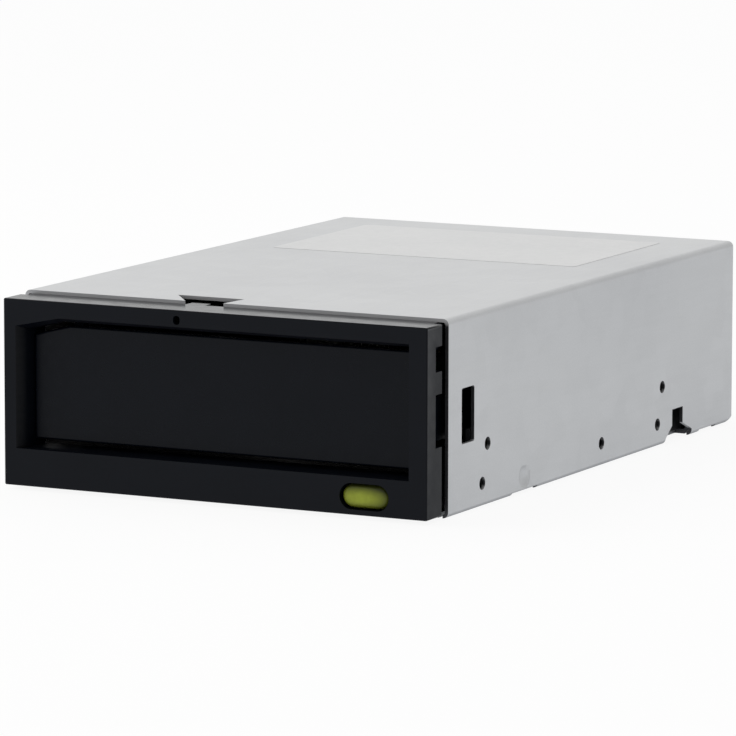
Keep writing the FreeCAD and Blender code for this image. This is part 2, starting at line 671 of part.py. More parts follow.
def bay_deck():
    """Floor of the bay: a plate on six hollow posts, with skirts and sliding runners."""
    plate = block(-DECK_HALF, DECK_HALF, DECK_FRONT, DECK_BACK, DECK_TOP - DECK_SHEET, DECK_TOP)

    def leads_in(edge):
        middle = edge.CenterOfMass
        return middle.y < DECK_FRONT + 0.01 and middle.z > DECK_TOP - 0.01

    plate = bevel_edges(plate, 0.9, leads_in)
    skirt = block(-DECK_HALF, DECK_HALF, DECK_FRONT, DECK_FRONT + DECK_SHEET, 1.2, DECK_TOP - DECK_SHEET)
    runners = [
        block(x - 0.8, x + 0.8, RAIL_FRONT, DECK_BACK - 4, DECK_TOP - 0.2, DECK_TOP + RUNNER_HEIGHT)
        for x in (-32, -14, 14, 32)
    ]
    posts = [bar_z(x, y, TRAY_SHEET, DECK_TOP - 0.5, POST_RADIUS) for x, y in post_places()]
    side_skirt = block(DECK_HALF - 1.0, DECK_HALF, DECK_BACK - 6.0, KEYHOLE_Y + 10.5, 1.2, DECK_TOP - 1.1)
    deck = fuse(plate, skirt, *both_sides(side_skirt), *runners, *posts)
    cores = [bar_z(x, y, 0, DECK_TOP - DECK_SHEET, 1.0) for x, y in post_places()]
    stem_hole = bar_y(BUTTON_X, BUTTON_Z, DECK_FRONT - 1, DECK_FRONT + 2, STEM_RADIUS + 0.3)
    return cut(deck, *cores, stem_hole)


def guide_rail():
    """Right-hand rail with a flared entry and cored pockets on its outer side."""
    rail = prism_z([
        (DECK_HALF, RAIL_FRONT),
        (RAIL_MOUTH, RAIL_FRONT),
        (RAIL_MOUTH, RAIL_LEAD_FRONT),
        (RAIL_INNER, RAIL_LEAD_BACK),
        (RAIL_INNER, RAIL_BACK),
        (DECK_HALF, RAIL_BACK),
    ], DECK_TOP, RAIL_TOP)
    pocket_length = 13.0
    pockets = [
        block(RAIL_INNER + 1.4, WIDTH, y, y + pocket_length, DECK_TOP + 1.6, RAIL_TOP - 8.0)
        for y in (-33.0, -17.8, -2.6, 12.6, 27.4)
    ]
    rail = cut(rail, *pockets)
    bores = [bar_z(x, y, RAIL_TOP - 7.0, RAIL_TOP + 1, 0.8) for x, y in bridge_screw_places()[2:]]
    return cut(rail, *bores)


def left_guide_rail():
    """Mirror of the right-hand rail, with the key strip for a cartridge's bevelled corner."""
    key = prism_y([
        (-RAIL_INNER - 0.2, RAIL_TOP),
        (-RAIL_INNER - 0.2, RAIL_TOP - KEY_DROP),
        (-RAIL_INNER, RAIL_TOP - KEY_DROP),
        (-RAIL_INNER + KEY_RUN, RAIL_TOP - 0.4),
        (-RAIL_INNER + KEY_RUN, RAIL_TOP),
    ], RAIL_LEAD_BACK, RAIL_BACK)
    return fuse(mirrored(guide_rail()), key)


# Cartridge lock

def bridge_screw_places():
    return [(side * 45.5, y) for side in (-1, 1) for y in (BRIDGE_FRONT + 4.0, BRIDGE_BACK - 4.0)]


def lock_ear(x0, x1):
    ear = block(x0, x1, LOCK_Y - 2.2, LOCK_Y + 2.2, RAIL_TOP, LOCK_Z + 1.8)
    return round_edges(ear, 1.6, lambda edge: lies_along(edge, X_AXIS) and edge.CenterOfMass.z > LOCK_Z)


def lock_bridge():
    """Plate across the rails with two ears for the lock's pin and a guide for the rod."""
    plate = block(-DECK_HALF + 0.4, DECK_HALF - 0.4, BRIDGE_FRONT, BRIDGE_BACK, RAIL_TOP, BRIDGE_TOP)
    plate = round_edges(plate, 2.0, lambda edge: lies_along(edge, Z_AXIS))
    tongue = block(RELEASE_X - 3.6, RELEASE_X + 3.6, ROD_GUIDE_Y, BRIDGE_FRONT + 1, RAIL_TOP, BRIDGE_TOP)
    guide = block(RELEASE_X - 2.4, RELEASE_X + 2.4, ROD_GUIDE_Y, ROD_GUIDE_Y + 1, RAIL_TOP, 40.2)
    left_ear = lock_ear(RELEASE_X - 4.6, RELEASE_X - 3.6)
    right_ear = lock_ear(RELEASE_X + 6.0, RELEASE_X + 7.0)
    bridge = fuse(plate, tongue, guide, left_ear, right_ear)
    hook_window = block(RELEASE_X - 3.8, RELEASE_X + 3.8, LOCK_Y + 9.5, LOCK_Y + 17.0,
                        RAIL_TOP - 1, BRIDGE_TOP + 1)
    hook_window = round_edges(hook_window, 1.0, lambda edge: lies_along(edge, Z_AXIS))
    pin_hole = bar_x(RELEASE_X - 9, RELEASE_X + 9, LOCK_Y, LOCK_Z, LOCK_PIN_RADIUS)
    rod_hole = bar_y(RELEASE_X, ROD_Z, ROD_GUIDE_Y - 1, ROD_GUIDE_Y + 2, ROD_RADIUS + RUNNING_GAP)
    screw_holes = [bar_z(x, y, RAIL_TOP - 1, BRIDGE_TOP + 1, 0.9) for x, y in bridge_screw_places()]
    lightening = [block(x - 6, x + 6, BRIDGE_FRONT + 10, BRIDGE_BACK - 10, RAIL_TOP - 1, BRIDGE_TOP + 1)
                  for x in (-30, 14, 33)]
    lightening = [round_edges(hole, 3.0, lambda edge: lies_along(edge, Z_AXIS)) for hole in lightening]
    return cut(bridge, hook_window, pin_hole, rod_hole, *screw_holes, *lightening)


def lock_lever():
    """Hooked lever on a pin: the rod's wedge presses its tail and the hook lifts."""
    floor = LOCK_Z - LEVER_HALF_THICK
    top = LOCK_Z + LEVER_HALF_THICK
    tip = LOCK_Y + HOOK_REACH
    arm = prism_x([
        (LOCK_Y - TAIL_REACH, floor),
        (LOCK_Y - TAIL_REACH, top),
        (tip, top),
        (tip, HOOK_FLOOR),
        (tip - 1.0, HOOK_FLOOR),
        (tip - 3.6, floor),
    ], RELEASE_X - LEVER_HALF, RELEASE_X + LEVER_HALF)
    hub = bar_x(RELEASE_X - LEVER_HALF, RELEASE_X + LEVER_HALF, LOCK_Y, LOCK_Z, 1.6)
    pin_hole = bar_x(-WIDTH, WIDTH, LOCK_Y, LOCK_Z, LOCK_PIN_RADIUS + RUNNING_GAP)
    return cut(fuse(arm, hub), pin_hole)


def lock_pivot_pin():
    return bar_x(RELEASE_X - 5.0, RELEASE_X + 7.4, LOCK_Y, LOCK_Z, LOCK_PIN_RADIUS)


def lock_spring():
    """Torsion spring between the lever and the right ear."""
    pitch, turns = 0.65, 3
    start = RELEASE_X + LEVER_HALF + 0.4
    return turned(coil(1.2, 0.2, pitch, turns), X_AXIS, start, LOCK_Y, LOCK_Z)


def release_rod():
    """Rod from the hole in the bezel to a wedge over the lock lever's tail."""
    tail = LOCK_Y - TAIL_REACH
    contact = LOCK_Z + LEVER_HALF_THICK + WEDGE_GAP
    nose, heel = tail - ROD_TRAVEL - 0.6, tail + 2.0
    wedge = prism_x([
        (nose, contact + WEDGE_SLOPE * (nose - tail)),
        (heel, contact + WEDGE_SLOPE * (heel - tail)),
        (heel, ROD_Z + 0.7),
        (nose, ROD_Z + 0.7),
    ], RELEASE_X - 2.0, RELEASE_X + 2.0)
    return fuse(wedge, bar_y(RELEASE_X, ROD_Z, ROD_FRONT, nose + 1.0, ROD_RADIUS))


def bridge_screws():
    return Part.makeCompound([
        hex_screw(x, y, BRIDGE_TOP, 1.8, 1.2, 0.8, 6.0)
        for x, y in bridge_screw_places()
    ])


# Boards, connectors and sockets

def main_board():
    board = block(-BOARD_HALF, BOARD_HALF, BOARD_FRONT, BOARD_BACK, BOARD_FLOOR, BOARD_TOP)
    board = round_edges(board, 1.0, lambda edge: lies_along(edge, Z_AXIS))
    holes = [bar_z(x, y, 0, HEIGHT, 1.4) for x, y in BOARD_SCREWS]
    holes += [bar_z(x, y, 0, HEIGHT, FRAME_POST_RADIUS + 0.4) for x, y in FRAME_POSTS[2:]]
    return cut(board, *holes)


def board_spacers():
    spacers = [bar_z(x, y, TRAY_SHEET, BOARD_FLOOR, 2.5) for x, y in BOARD_SCREWS]
    return Part.makeCompound([cut(spacer, bar_z(x, y, 0, HEIGHT, 1.25))
                              for spacer, (x, y) in zip(spacers, BOARD_SCREWS)])


def board_screws():
    return Part.makeCompound([
        hex_screw(x, y, BOARD_TOP, 2.3, 1.3, 1.2, 2.8)
        for x, y in BOARD_SCREWS
    ])


def eject_switch():
    """Side-pressed switch at the board's edge, just behind the button's stem."""
    plunger_front = STEM_BACK + BUTTON_TRAVEL + 0.1
    body = block(BUTTON_X - 2.9, BUTTON_X + 2.9, BOARD_FRONT + 0.2, BOARD_FRONT + 3.8,
                 BOARD_TOP, BOARD_TOP + 3.2)
    body = round_edges(body, 0.4, lambda edge: lies_along(edge, Y_AXIS))
    plunger = bar_y(BUTTON_X, BUTTON_Z + 0.4, plunger_front, BOARD_FRONT + 1, 0.9)
    return fuse(body, plunger)


def status_led():
    """Lamp on the board that lights the button."""
    x = BUTTON_X - 6.4
    base = block(x - 1.0, x + 1.0, BOARD_FRONT + 0.3, BOARD_FRONT + 2.0, BOARD_TOP, BOARD_TOP + 1.0)
    lens = Part.makeSphere(0.75, FreeCAD.Vector(x, BOARD_FRONT + 1.1, BOARD_TOP + 0.9))
    return fuse(base, lens)


def bridge_chip():
    """Square package with a row of bent leads on each side."""
    x, y, half, foot = 8.0, 14.0, 7.0, 8.4
    body = block(x - half, x + half, y - half, y + half, BOARD_TOP + 0.2, BOARD_TOP + 1.5)
    body = bevel_edges(body, 0.3, lambda edge: edge.CenterOfMass.z > BOARD_TOP + 1.4)
    lead_top, half_lead, pitch = BOARD_TOP + 0.5, 0.35, 1.8
    leads = []
    for step in range(-3, 4):
        row = y + step * pitch
        column = x + step * pitch
        leads.append(block(x - foot, x + foot, row - half_lead, row + half_lead, BOARD_TOP, lead_top))
        leads.append(block(column - half_lead, column + half_lead, y - foot, y + foot, BOARD_TOP, lead_top))
    return fuse(body, *leads)


def board_capacitors():
    """Can capacitors in the space behind the bay."""
    cans = []
    for x, y, radius, height in ((18.5, 56.0, 3.2, 8.0), (26.5, 56.0, 3.2, 8.0), (11.5, 60.5, 2.5, 6.0)):
        base = block(x - radius, x + radius, y - radius, y + radius, BOARD_TOP, BOARD_TOP + 0.8)
        can = bar_z(x, y, BOARD_TOP + 0.8, BOARD_TOP + height, radius)
        can = bevel_edges(can, 0.5, lambda edge: edge.CenterOfMass.z > BOARD_TOP + height - 0.01)
        cans.append(fuse(base, can))
    return Part.makeCompound(cans)


def media_connector():
    """Receptacle that a cartridge plugs into, with a chamfered mouth round its slot."""
    half, back = 20.5, RISER_FRONT
    body = block(-half, half, MEDIA_FRONT, back, MEDIA_Z - 3.6, MEDIA_Z + 3.6)
    body = round_edges(body, 0.6, lambda edge: lies_along(edge, Y_AXIS))
    slots = [
        block(-17.5, -7.0, MEDIA_FRONT - 1, MEDIA_FRONT + 4.2, MEDIA_Z - 1.6, MEDIA_Z + 1.6),
        block(-5.4, 17.5, MEDIA_FRONT - 1, MEDIA_FRONT + 4.2, MEDIA_Z - 1.6, MEDIA_Z + 1.6),
    ]
    lead_in = prism_x([
        (MEDIA_FRONT - 0.1, MEDIA_Z - 2.5),
        (MEDIA_FRONT - 0.1, MEDIA_Z + 2.5),
        (MEDIA_FRONT + 0.9, MEDIA_Z + 1.6),
        (MEDIA_FRONT + 0.9, MEDIA_Z - 1.6),
    ], -18.4, 18.4)
    pegs = [bar_y(x, MEDIA_Z, MEDIA_FRONT - 1.0, MEDIA_FRONT + 1.0, 1.4) for x in (-19.0, 19.0)]
    return fuse(cut(body, lead_in, *slots), *[peg.common(body) for peg in pegs])


def media_contacts():
    """Blade contacts in the receptacle's two slots."""
    start = -CONTACT_PITCH * (CONTACT_COUNT - 1) / 2
    blades = []
    for index in range(CONTACT_COUNT):
        x = start + index * CONTACT_PITCH
        if -7.6 < x < -4.8:
            continue
        blades.append(block(x - 0.25, x + 0.25, MEDIA_FRONT + 1.4, MEDIA_FRONT + 4.2,
                            MEDIA_Z - 1.6, MEDIA_Z - 1.2))
    return Part.makeCompound(blades)


def connector_riser():
    riser = block(-RISER_HALF, RISER_HALF, RISER_FRONT, RISER_FRONT + BOARD_SHEET, BOARD_TOP + 4.0, RISER_TOP)
    return round_edges(riser, 1.0, lambda edge: lies_along(edge, Y_AXIS))


def riser_header():
    """Socket strip on the main board that the upright board stands in."""
    back = RISER_FRONT + BOARD_SHEET
    body = block(-15.0, 15.0, RISER_FRONT - 1.2, back + 0.8, BOARD_TOP, BOARD_TOP + 5.6)
    groove = block(-RISER_HALF, RISER_HALF, RISER_FRONT, back, BOARD_TOP + 4.0, HEIGHT)
    return cut(body, groove)


def usb_socket():
    """Square data socket with a stepped mouth and a contact tongue."""
    left, right = USB_X - USB_WIDTH / 2, USB_X + USB_WIDTH / 2
    front, floor = PANEL_BACK - 17.0, BOARD_TOP
    shell = block(left, right, front, PANEL_BACK, floor, USB_TOP)
    shell = round_edges(shell, 0.5, lambda edge: lies_along(edge, Y_AXIS))
    low = prism_y([
        (USB_X - 4.3, floor + 1.2),
        (USB_X + 4.3, floor + 1.2),
        (USB_X + 4.3, floor + 7.4),
        (USB_X + 2.9, floor + 8.9),
        (USB_X - 2.9, floor + 8.9),
        (USB_X - 4.3, floor + 7.4),
    ], PANEL_BACK - 12.0, PANEL_BACK + 1)
    high = block(USB_X - 2.9, USB_X + 2.9, PANEL_BACK - 12.0, PANEL_BACK + 1, floor + 8.0, USB_TOP - 0.9)
    tongue = block(USB_X - 2.8, USB_X + 2.8, PANEL_BACK - 12.5, PANEL_BACK - 1.5, floor + 3.6, floor + 6.6)
    return fuse(cut(shell, low, high), tongue)


def power_socket():
    """Flat power plug: an L-shaped blade in an open shroud."""
    left, right = POWER_X - POWER_WIDTH / 2, POWER_X + POWER_WIDTH / 2
    front, floor = PANEL_BACK - 10.0, BOARD_TOP
    shroud = block(left, right, front, PANEL_BACK, floor, POWER_TOP)
    cavity = block(left + 1.0, right - 1.0, PANEL_BACK - 6.5, PANEL_BACK + 1, floor + 0.9, POWER_TOP - 0.8)
    blade = block(left + 2.0, right - 2.0, PANEL_BACK - 7.0, PANEL_BACK - 0.6, floor + 2.3, floor + 3.5)
    hook = block(right - 3.2, right - 2.0, PANEL_BACK - 7.0, PANEL_BACK - 0.6, floor + 1.4, floor + 3.5)
    return fuse(cut(shroud, cavity), blade, hook)


# Fan

def fan_housing():
    """Square frame round a bore, with a motor cup on four struts towards the panel."""
    half = FAN_SIZE / 2
    frame = block(FAN_X - half, FAN_X + half, FAN_FRONT, PANEL_FRONT, FAN_Z - half, FAN_Z + half)
    frame = round_edges(frame, 2.5, lambda edge: lies_along(edge, Y_AXIS))
    holes = [bar_y(x, z, FAN_FRONT - 1, PANEL_FRONT + 1, 1.25) for x, z in fan_hole_places()]
    frame = cut(frame, bar_y(FAN_X, FAN_Z, FAN_FRONT - 1, PANEL_FRONT + 1, FAN_BORE), *holes)
    strut_front = PANEL_FRONT - 1.4
    struts = []
    for angle in (0, 90):
        strut = block(-FAN_BORE - 0.3, FAN_BORE + 0.3, strut_front, PANEL_FRONT, -0.8, 0.8)
        strut.rotate(FreeCAD.Vector(0, 0, 0), Y_AXIS, angle)
        strut.translate(FreeCAD.Vector(FAN_X, 0, FAN_Z))
        struts.append(strut)
    cup = bar_y(FAN_X, FAN_Z, strut_front, PANEL_FRONT, FAN_HUB)
    return fuse(frame, cup, *struts)


def fan_blade():
    """One blade along +X whose pitch falls from the hub to the tip."""
    middle = (FAN_FRONT + 0.6 + PANEL_FRONT - 2.2) / 2
    half_chord, half_thick = 4.6, 0.35
    sections = []
    for radius, pitch in ((FAN_HUB - 1.0, math.radians(48)), (FAN_TIP + 1.0, math.radians(28))):
        along = FreeCAD.Vector(0, math.sin(pitch), math.cos(pitch)) * half_chord
        across = FreeCAD.Vector(0, math.cos(pitch), -math.sin(pitch)) * half_thick
        centre = FreeCAD.Vector(radius, middle, 0)
        leading, trailing = centre - along, centre + along
        corners = [leading - across, trailing - across, trailing + across, leading + across]
        sections.append(Part.makePolygon(corners + corners[:1]))
    return Part.makeLoft(sections, True, True)


def fan_rotor():
    """Cup-shaped hub with twisted blades, trimmed to the bore."""
    front, back = FAN_FRONT + 0.6, PANEL_FRONT - 1.8
    hub = bar_y(0, 0, front, back, FAN_HUB)
    hub = bevel_edges(hub, 0.8, lambda edge: abs(edge.CenterOfMass.y - front) < 0.01)
    blades = []
    for index in range(FAN_BLADES):
        blade = fan_blade()
        blade.rotate(FreeCAD.Vector(0, 0, 0), Y_AXIS, index * 360 / FAN_BLADES)
        blades.append(blade)
    swept = bar_y(0, 0, front + 0.3, back - 0.3, FAN_TIP)
    trimmed = [blade.common(swept) for blade in blades]
    rotor = fuse(hub, *trimmed)
    rotor.translate(FreeCAD.Vector(FAN_X, 0, FAN_Z))
    return rotor


def fan_screws():
    return Part.makeCompound([
        pan_screw(FreeCAD.Vector(x, PANEL_BACK, z), -Y_AXIS, 2.4, 1.2, 1.2, 7.0)
        for x, z in fan_hole_places()
    ])


# Eject drive

def mechanism_frame():
    """Folded bracket: a foot on posts, an upright web and a shelf for the motor."""
    section = [
        (FRAME_LEFT, FOOT_FLOOR),
        (FRAME_RIGHT, FOOT_FLOOR),
        (FRAME_RIGHT, FOOT_TOP),
        (FRAME_LEFT + FRAME_SHEET, FOOT_TOP),
        (FRAME_LEFT + FRAME_SHEET, SHELF_FLOOR),
        (FRAME_RIGHT, SHELF_FLOOR),
        (FRAME_RIGHT, SHELF_TOP),
        (FRAME_LEFT, SHELF_TOP),
    ]
    frame = prism_y(section, FRAME_FRONT, FRAME_BACK)

    def bends(edge):
        return lies_along(edge, Y_AXIS) and abs(edge.CenterOfMass.x - FRAME_LEFT) < 0.01

    frame = round_edges(frame, 1.5, bends)
    web_window = block(FRAME_LEFT - 1, FRAME_LEFT + 2, FRAME_FRONT + 5, FRAME_BACK - 5,
                       FOOT_TOP + 4, SHELF_FLOOR - 4)
    keel_slot = block(SLIDER_LEFT + 0.8, SLIDER_LEFT + 2.8, FRAME_FRONT - 1, SLIDER_BACK, 0, FOOT_TOP + 1)
    shaft_hole = bar_z(GEAR_X, GEAR_Y, 0, HEIGHT, GEAR_SHAFT_RADIUS + RUNNING_GAP)
    pilot_hole = bar_z(MOTOR_X, MOTOR_Y, SHELF_FLOOR - 1, HEIGHT, 3.0)
    motor_holes = [bar_z(x, y, SHELF_FLOOR - 1, HEIGHT, 0.9) for x, y in motor_screw_places()]
    post_holes = [bar_z(x, y, 0, FOOT_TOP + 1, 1.2) for x, y in FRAME_POSTS]
    slot_end = block(SLIDER_LEFT + 0.7, SLIDER_LEFT + 2.9, FRAME_BACK - 0.6, FRAME_BACK, FOOT_FLOOR, FOOT_TOP)
    frame = cut(frame, web_window, keel_slot, shaft_hole, pilot_hole, *motor_holes, *post_holes)
    return fuse(frame, slot_end)


def frame_posts():
    posts = []
    for x, y in FRAME_POSTS:
        core = bar_z(x, y, FOOT_FLOOR - 5, FOOT_FLOOR, 1.0)
        posts.append(cut(bar_z(x, y, TRAY_SHEET, FOOT_FLOOR, FRAME_POST_RADIUS), core))
    return Part.makeCompound(posts)


def frame_screws():
    return Part.makeCompound([
        hex_screw(x, y, FOOT_TOP, 1.7, 1.1, 1.0, 5.0)
        for x, y in FRAME_POSTS
    ])


def motor_screw_places():
    angle = MOTOR_ANGLE + math.pi / 2
    dx, dy = MOTOR_SCREW_RADIUS * math.cos(angle), MOTOR_SCREW_RADIUS * math.sin(angle)
    return [(MOTOR_X + dx, MOTOR_Y + dy), (MOTOR_X - dx, MOTOR_Y - dy)]


def drive_motor():
    """Can motor hung under the shelf, with a pilot boss and an end cap."""
    can = bar_z(MOTOR_X, MOTOR_Y, MOTOR_FLOOR, SHELF_FLOOR, MOTOR_RADIUS)
    can = bevel_edges(can, 0.8, lambda edge: edge.CenterOfMass.z < MOTOR_FLOOR + 0.01)
    pilot = bar_z(MOTOR_X, MOTOR_Y, SHELF_FLOOR - 0.5, SHELF_TOP - 0.2, 2.9)
    cap = bar_z(MOTOR_X, MOTOR_Y, MOTOR_FLOOR - 0.5, MOTOR_FLOOR + 0.5, 5.0)
    bores = [bar_z(x, y, SHELF_FLOOR - 3.2, HEIGHT, 0.8) for x, y in motor_screw_places()]
    return cut(fuse(can, pilot, cap), *bores)


def motor_screws():
    return Part.makeCompound([
        hex_screw(x, y, SHELF_TOP, 1.5, 0.9, 0.8, 4.0)
        for x, y in motor_screw_places()
    ])


def gear_outline(teeth, module, phase):
    """Points round a spur gear with involute flanks, one tooth centred on phase."""
    pitch_radius = module * teeth / 2
    base_radius = pitch_radius * math.cos(PRESSURE_ANGLE)
    tip_radius = pitch_radius + 0.85 * module
    root_radius = pitch_radius - 1.15 * module
    half_tooth = math.pi / (2 * teeth) - BACKLASH / (4 * pitch_radius)
    pitch_involute = math.tan(PRESSURE_ANGLE) - PRESSURE_ANGLE
    flank_start = max(base_radius, root_radius)
    flank = []
    for step in range(3):
        radius = flank_start + (tip_radius - flank_start) * step / 2
        angle = math.acos(min(1.0, base_radius / radius))
        flank.append((radius, half_tooth + pitch_involute - (math.tan(angle) - angle)))
    if root_radius < base_radius:
        flank.insert(0, (root_radius, flank[0][1]))
    points = []
    for tooth in range(teeth):
        middle = phase + tooth * 2 * math.pi / teeth
        for radius, half in flank:
            points.append((radius * math.cos(middle - half), radius * math.sin(middle - half)))
        for radius, half in reversed(flank):
            points.append((radius * math.cos(middle + half), radius * math.sin(middle + half)))
    return points


def spur_gear(teeth, module, phase, x, y, z0, z1):
    points = [(x + px, y + py) for px, py in gear_outline(teeth, module, phase)]
    return prism_z(points, z0, z1)


def motor_shaft():
    return bar_z(MOTOR_X, MOTOR_Y, SHELF_TOP, WHEEL_FLOOR + WHEEL_THICK + 1.2, MOTOR_SHAFT_RADIUS)


def motor_pinion():
    """Its tooth gap faces the wheel's tooth on the line of centres."""
    phase = MOTOR_ANGLE + math.pi + math.pi / MOTOR_TEETH
    floor, top = WHEEL_FLOOR - 0.4, WHEEL_FLOOR + WHEEL_THICK + 0.4
    gear = spur_gear(MOTOR_TEETH, FINE_MODULE, phase, MOTOR_X, MOTOR_Y, floor, top)
    return cut(gear, bar_z(MOTOR_X, MOTOR_Y, 0, HEIGHT, MOTOR_SHAFT_RADIUS))


def gear_shaft():
    return bar_z(GEAR_X, GEAR_Y, FOOT_FLOOR - 0.9, WHEEL_FLOOR + WHEEL_THICK + 1.6, GEAR_SHAFT_RADIUS)


def reduction_gear():
    """Large wheel on top of the shelf, with a raised hub, a thin web and lightening holes."""
    top = WHEEL_FLOOR + WHEEL_THICK
    wheel = spur_gear(WHEEL_TEETH, FINE_MODULE, MOTOR_ANGLE, GEAR_X, GEAR_Y, WHEEL_FLOOR, top)
    hub = bar_z(GEAR_X, GEAR_Y, SHELF_TOP + 0.3, top + 1.0, 3.2)
    recess = cut(bar_z(GEAR_X, GEAR_Y, top - 0.6, top + 1, 9.8), bar_z(GEAR_X, GEAR_Y, 0, HEIGHT, 4.2))
    holes = []
    for index in range(5):
        angle = index * 2 * math.pi / 5
        holes.append(bar_z(GEAR_X + 7 * math.cos(angle), GEAR_Y + 7 * math.sin(angle), 0, HEIGHT, 1.8))
    wheel = cut(wheel, recess, *holes)
    return cut(fuse(wheel, hub), bar_z(GEAR_X, GEAR_Y, 0, HEIGHT, GEAR_SHAFT_RADIUS))


def rack_pinion():
    """Small pinion that drives the rack, with a sleeve up to the shelf."""
    top = RACK_FLOOR + RACK_THICK
    gear = spur_gear(RACK_PINION_TEETH, RACK_MODULE, math.pi, GEAR_X, GEAR_Y, RACK_FLOOR, top)
    sleeve = bar_z(GEAR_X, GEAR_Y, FOOT_TOP + 0.3, SHELF_FLOOR - 0.3, 2.8)
    return cut(fuse(gear, sleeve), bar_z(GEAR_X, GEAR_Y, 0, HEIGHT, GEAR_SHAFT_RADIUS))


def shaft_clip():
    """Open clip that keeps the shaft from lifting out of the foot."""
    z0, z1 = FOOT_FLOOR - 0.7, FOOT_FLOOR - 0.1
    disc = bar_z(GEAR_X, GEAR_Y, z0, z1, 2.9)
    return cut(disc, bar_z(GEAR_X, GEAR_Y, 0, HEIGHT, GEAR_SHAFT_RADIUS),
               block(GEAR_X, GEAR_X + 4, GEAR_Y - 0.9, GEAR_Y + 0.9, 0, HEIGHT))


def rack_outline():
    """Rack bar seen from above, with a tooth gap facing the pinion's tooth."""
    pitch = math.pi * RACK_MODULE
    pitch_line = GEAR_X - RACK_MODULE * RACK_PINION_TEETH / 2
    tip = pitch_line + 0.85 * RACK_MODULE
    root = pitch_line - 1.15 * RACK_MODULE
    slope = math.tan(PRESSURE_ANGLE)
    half_tooth = pitch / 4 - BACKLASH / 4
    points = [(SLIDER_LEFT, SLIDER_BACK), (SLIDER_LEFT, SLIDER_FRONT + 1.0), (root, SLIDER_FRONT + 1.0)]
    for index in range(-2, 7):
        middle = GEAR_Y + (index + 0.5) * pitch
        at_root = half_tooth + (pitch_line - root) * slope
        at_tip = half_tooth - (tip - pitch_line) * slope
        points += [(root, middle - at_root), (tip, middle - at_tip)]
        points += [(tip, middle + at_tip), (root, middle + at_root)]
    points.append((root, SLIDER_BACK))
    return points


def eject_slider():
    """Rack bar with a keel in the foot's slot and a ribbed finger that pushes a cartridge out."""
    bar = prism_z(rack_outline(), RACK_FLOOR, RACK_FLOOR + RACK_THICK)
    keel = block(SLIDER_LEFT + 1.0, SLIDER_LEFT + 2.6, SLIDER_BACK - 12.4, SLIDER_BACK - 1.4,
                 FOOT_FLOOR - 0.3, RACK_FLOOR + 0.2)
    finger_left, finger_right, finger_top = -42.4, -33.0, RACK_FLOOR + RACK_THICK + 2.0
    finger = block(finger_left, finger_right, SLIDER_FRONT, SLIDER_FRONT + 1.8, FOOT_TOP + 0.2, finger_top)
    finger = round_edges(finger, 0.8, lambda edge: lies_along(edge, Y_AXIS))
    gusset = prism_z([
        (SLIDER_LEFT + 2.0, SLIDER_FRONT + 1.0),
        (finger_right - 0.6, SLIDER_FRONT + 1.0),
        (SLIDER_LEFT + 2.0, SLIDER_FRONT + 6.0),
    ], RACK_FLOOR + 1.5, RACK_FLOOR + 3.5)
    return fuse(bar, keel, finger, gusset)


PIECES = {
    "top_cover": top_cover,
    "base_tray": base_tray,
    "rear_panel": rear_panel,
    "cover_screws": cover_screws,
    "front_bezel": front_bezel,
    "flap_door": flap_door,
    "door_hinge_pin": door_hinge_pin,
    "door_spring": door_spring,
    "eject_button": eject_button,
    "button_spring": button_spring,
    "bay_deck": bay_deck,
    "left_guide_rail": left_guide_rail,
    "right_guide_rail": guide_rail,
    "lock_bridge": lock_bridge,
    "lock_lever": lock_lever,
    "lock_pivot_pin": lock_pivot_pin,
    "lock_spring": lock_spring,
    "release_rod": release_rod,
    "bridge_screws": bridge_screws,
    "main_board": main_board,
    "board_spacers": board_spacers,
    "board_screws": board_screws,
    "eject_switch": eject_switch,
    "status_led": status_led,
    "bridge_chip": bridge_chip,
    "board_capacitors": board_capacitors,
    "media_connector": media_connector,
    "media_contacts": media_contacts,
    "connector_riser": connector_riser,
    "riser_header": riser_header,
    "usb_socket": usb_socket,
    "power_socket": power_socket,
    "fan_housing": fan_housing,
    "fan_rotor": fan_rotor,
    "fan_screws": fan_screws,
    "mechanism_frame": mechanism_frame,
    "frame_posts": frame_posts,
    "frame_screws": frame_screws,
    "drive_motor": drive_motor,
    "motor_screws": motor_screws,
    "motor_shaft": motor_shaft,
    "motor_pinion": motor_pinion,
    "gear_shaft": gear_shaft,
    "reduction_gear": reduction_gear,
    "rack_pinion": rack_pinion,
    "shaft_clip": shaft_clip,
    "eject_slider": eject_slider,
}

os.makedirs("parts", exist_ok=True)
for name, make in PIECES.items():
    make().exportStep("parts/" + name + ".step")
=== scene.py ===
import bmesh
import bpy
import math
from mathutils import Matrix, Vector


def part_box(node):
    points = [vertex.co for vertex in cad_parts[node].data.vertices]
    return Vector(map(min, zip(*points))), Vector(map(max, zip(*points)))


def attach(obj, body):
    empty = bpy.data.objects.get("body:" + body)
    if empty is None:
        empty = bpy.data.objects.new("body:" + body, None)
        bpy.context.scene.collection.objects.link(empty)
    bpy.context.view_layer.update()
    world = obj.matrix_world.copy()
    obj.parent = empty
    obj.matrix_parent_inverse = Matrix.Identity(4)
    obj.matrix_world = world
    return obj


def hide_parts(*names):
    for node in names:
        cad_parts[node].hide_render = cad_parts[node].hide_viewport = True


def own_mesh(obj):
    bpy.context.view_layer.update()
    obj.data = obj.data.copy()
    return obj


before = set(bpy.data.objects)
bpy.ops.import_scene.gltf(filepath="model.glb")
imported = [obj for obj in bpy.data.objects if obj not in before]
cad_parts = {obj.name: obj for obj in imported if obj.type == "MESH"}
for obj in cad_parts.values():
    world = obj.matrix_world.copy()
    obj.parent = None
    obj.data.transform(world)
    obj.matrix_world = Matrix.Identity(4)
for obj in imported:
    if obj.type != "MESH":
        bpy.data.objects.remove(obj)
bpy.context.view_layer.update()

MM = 0.001

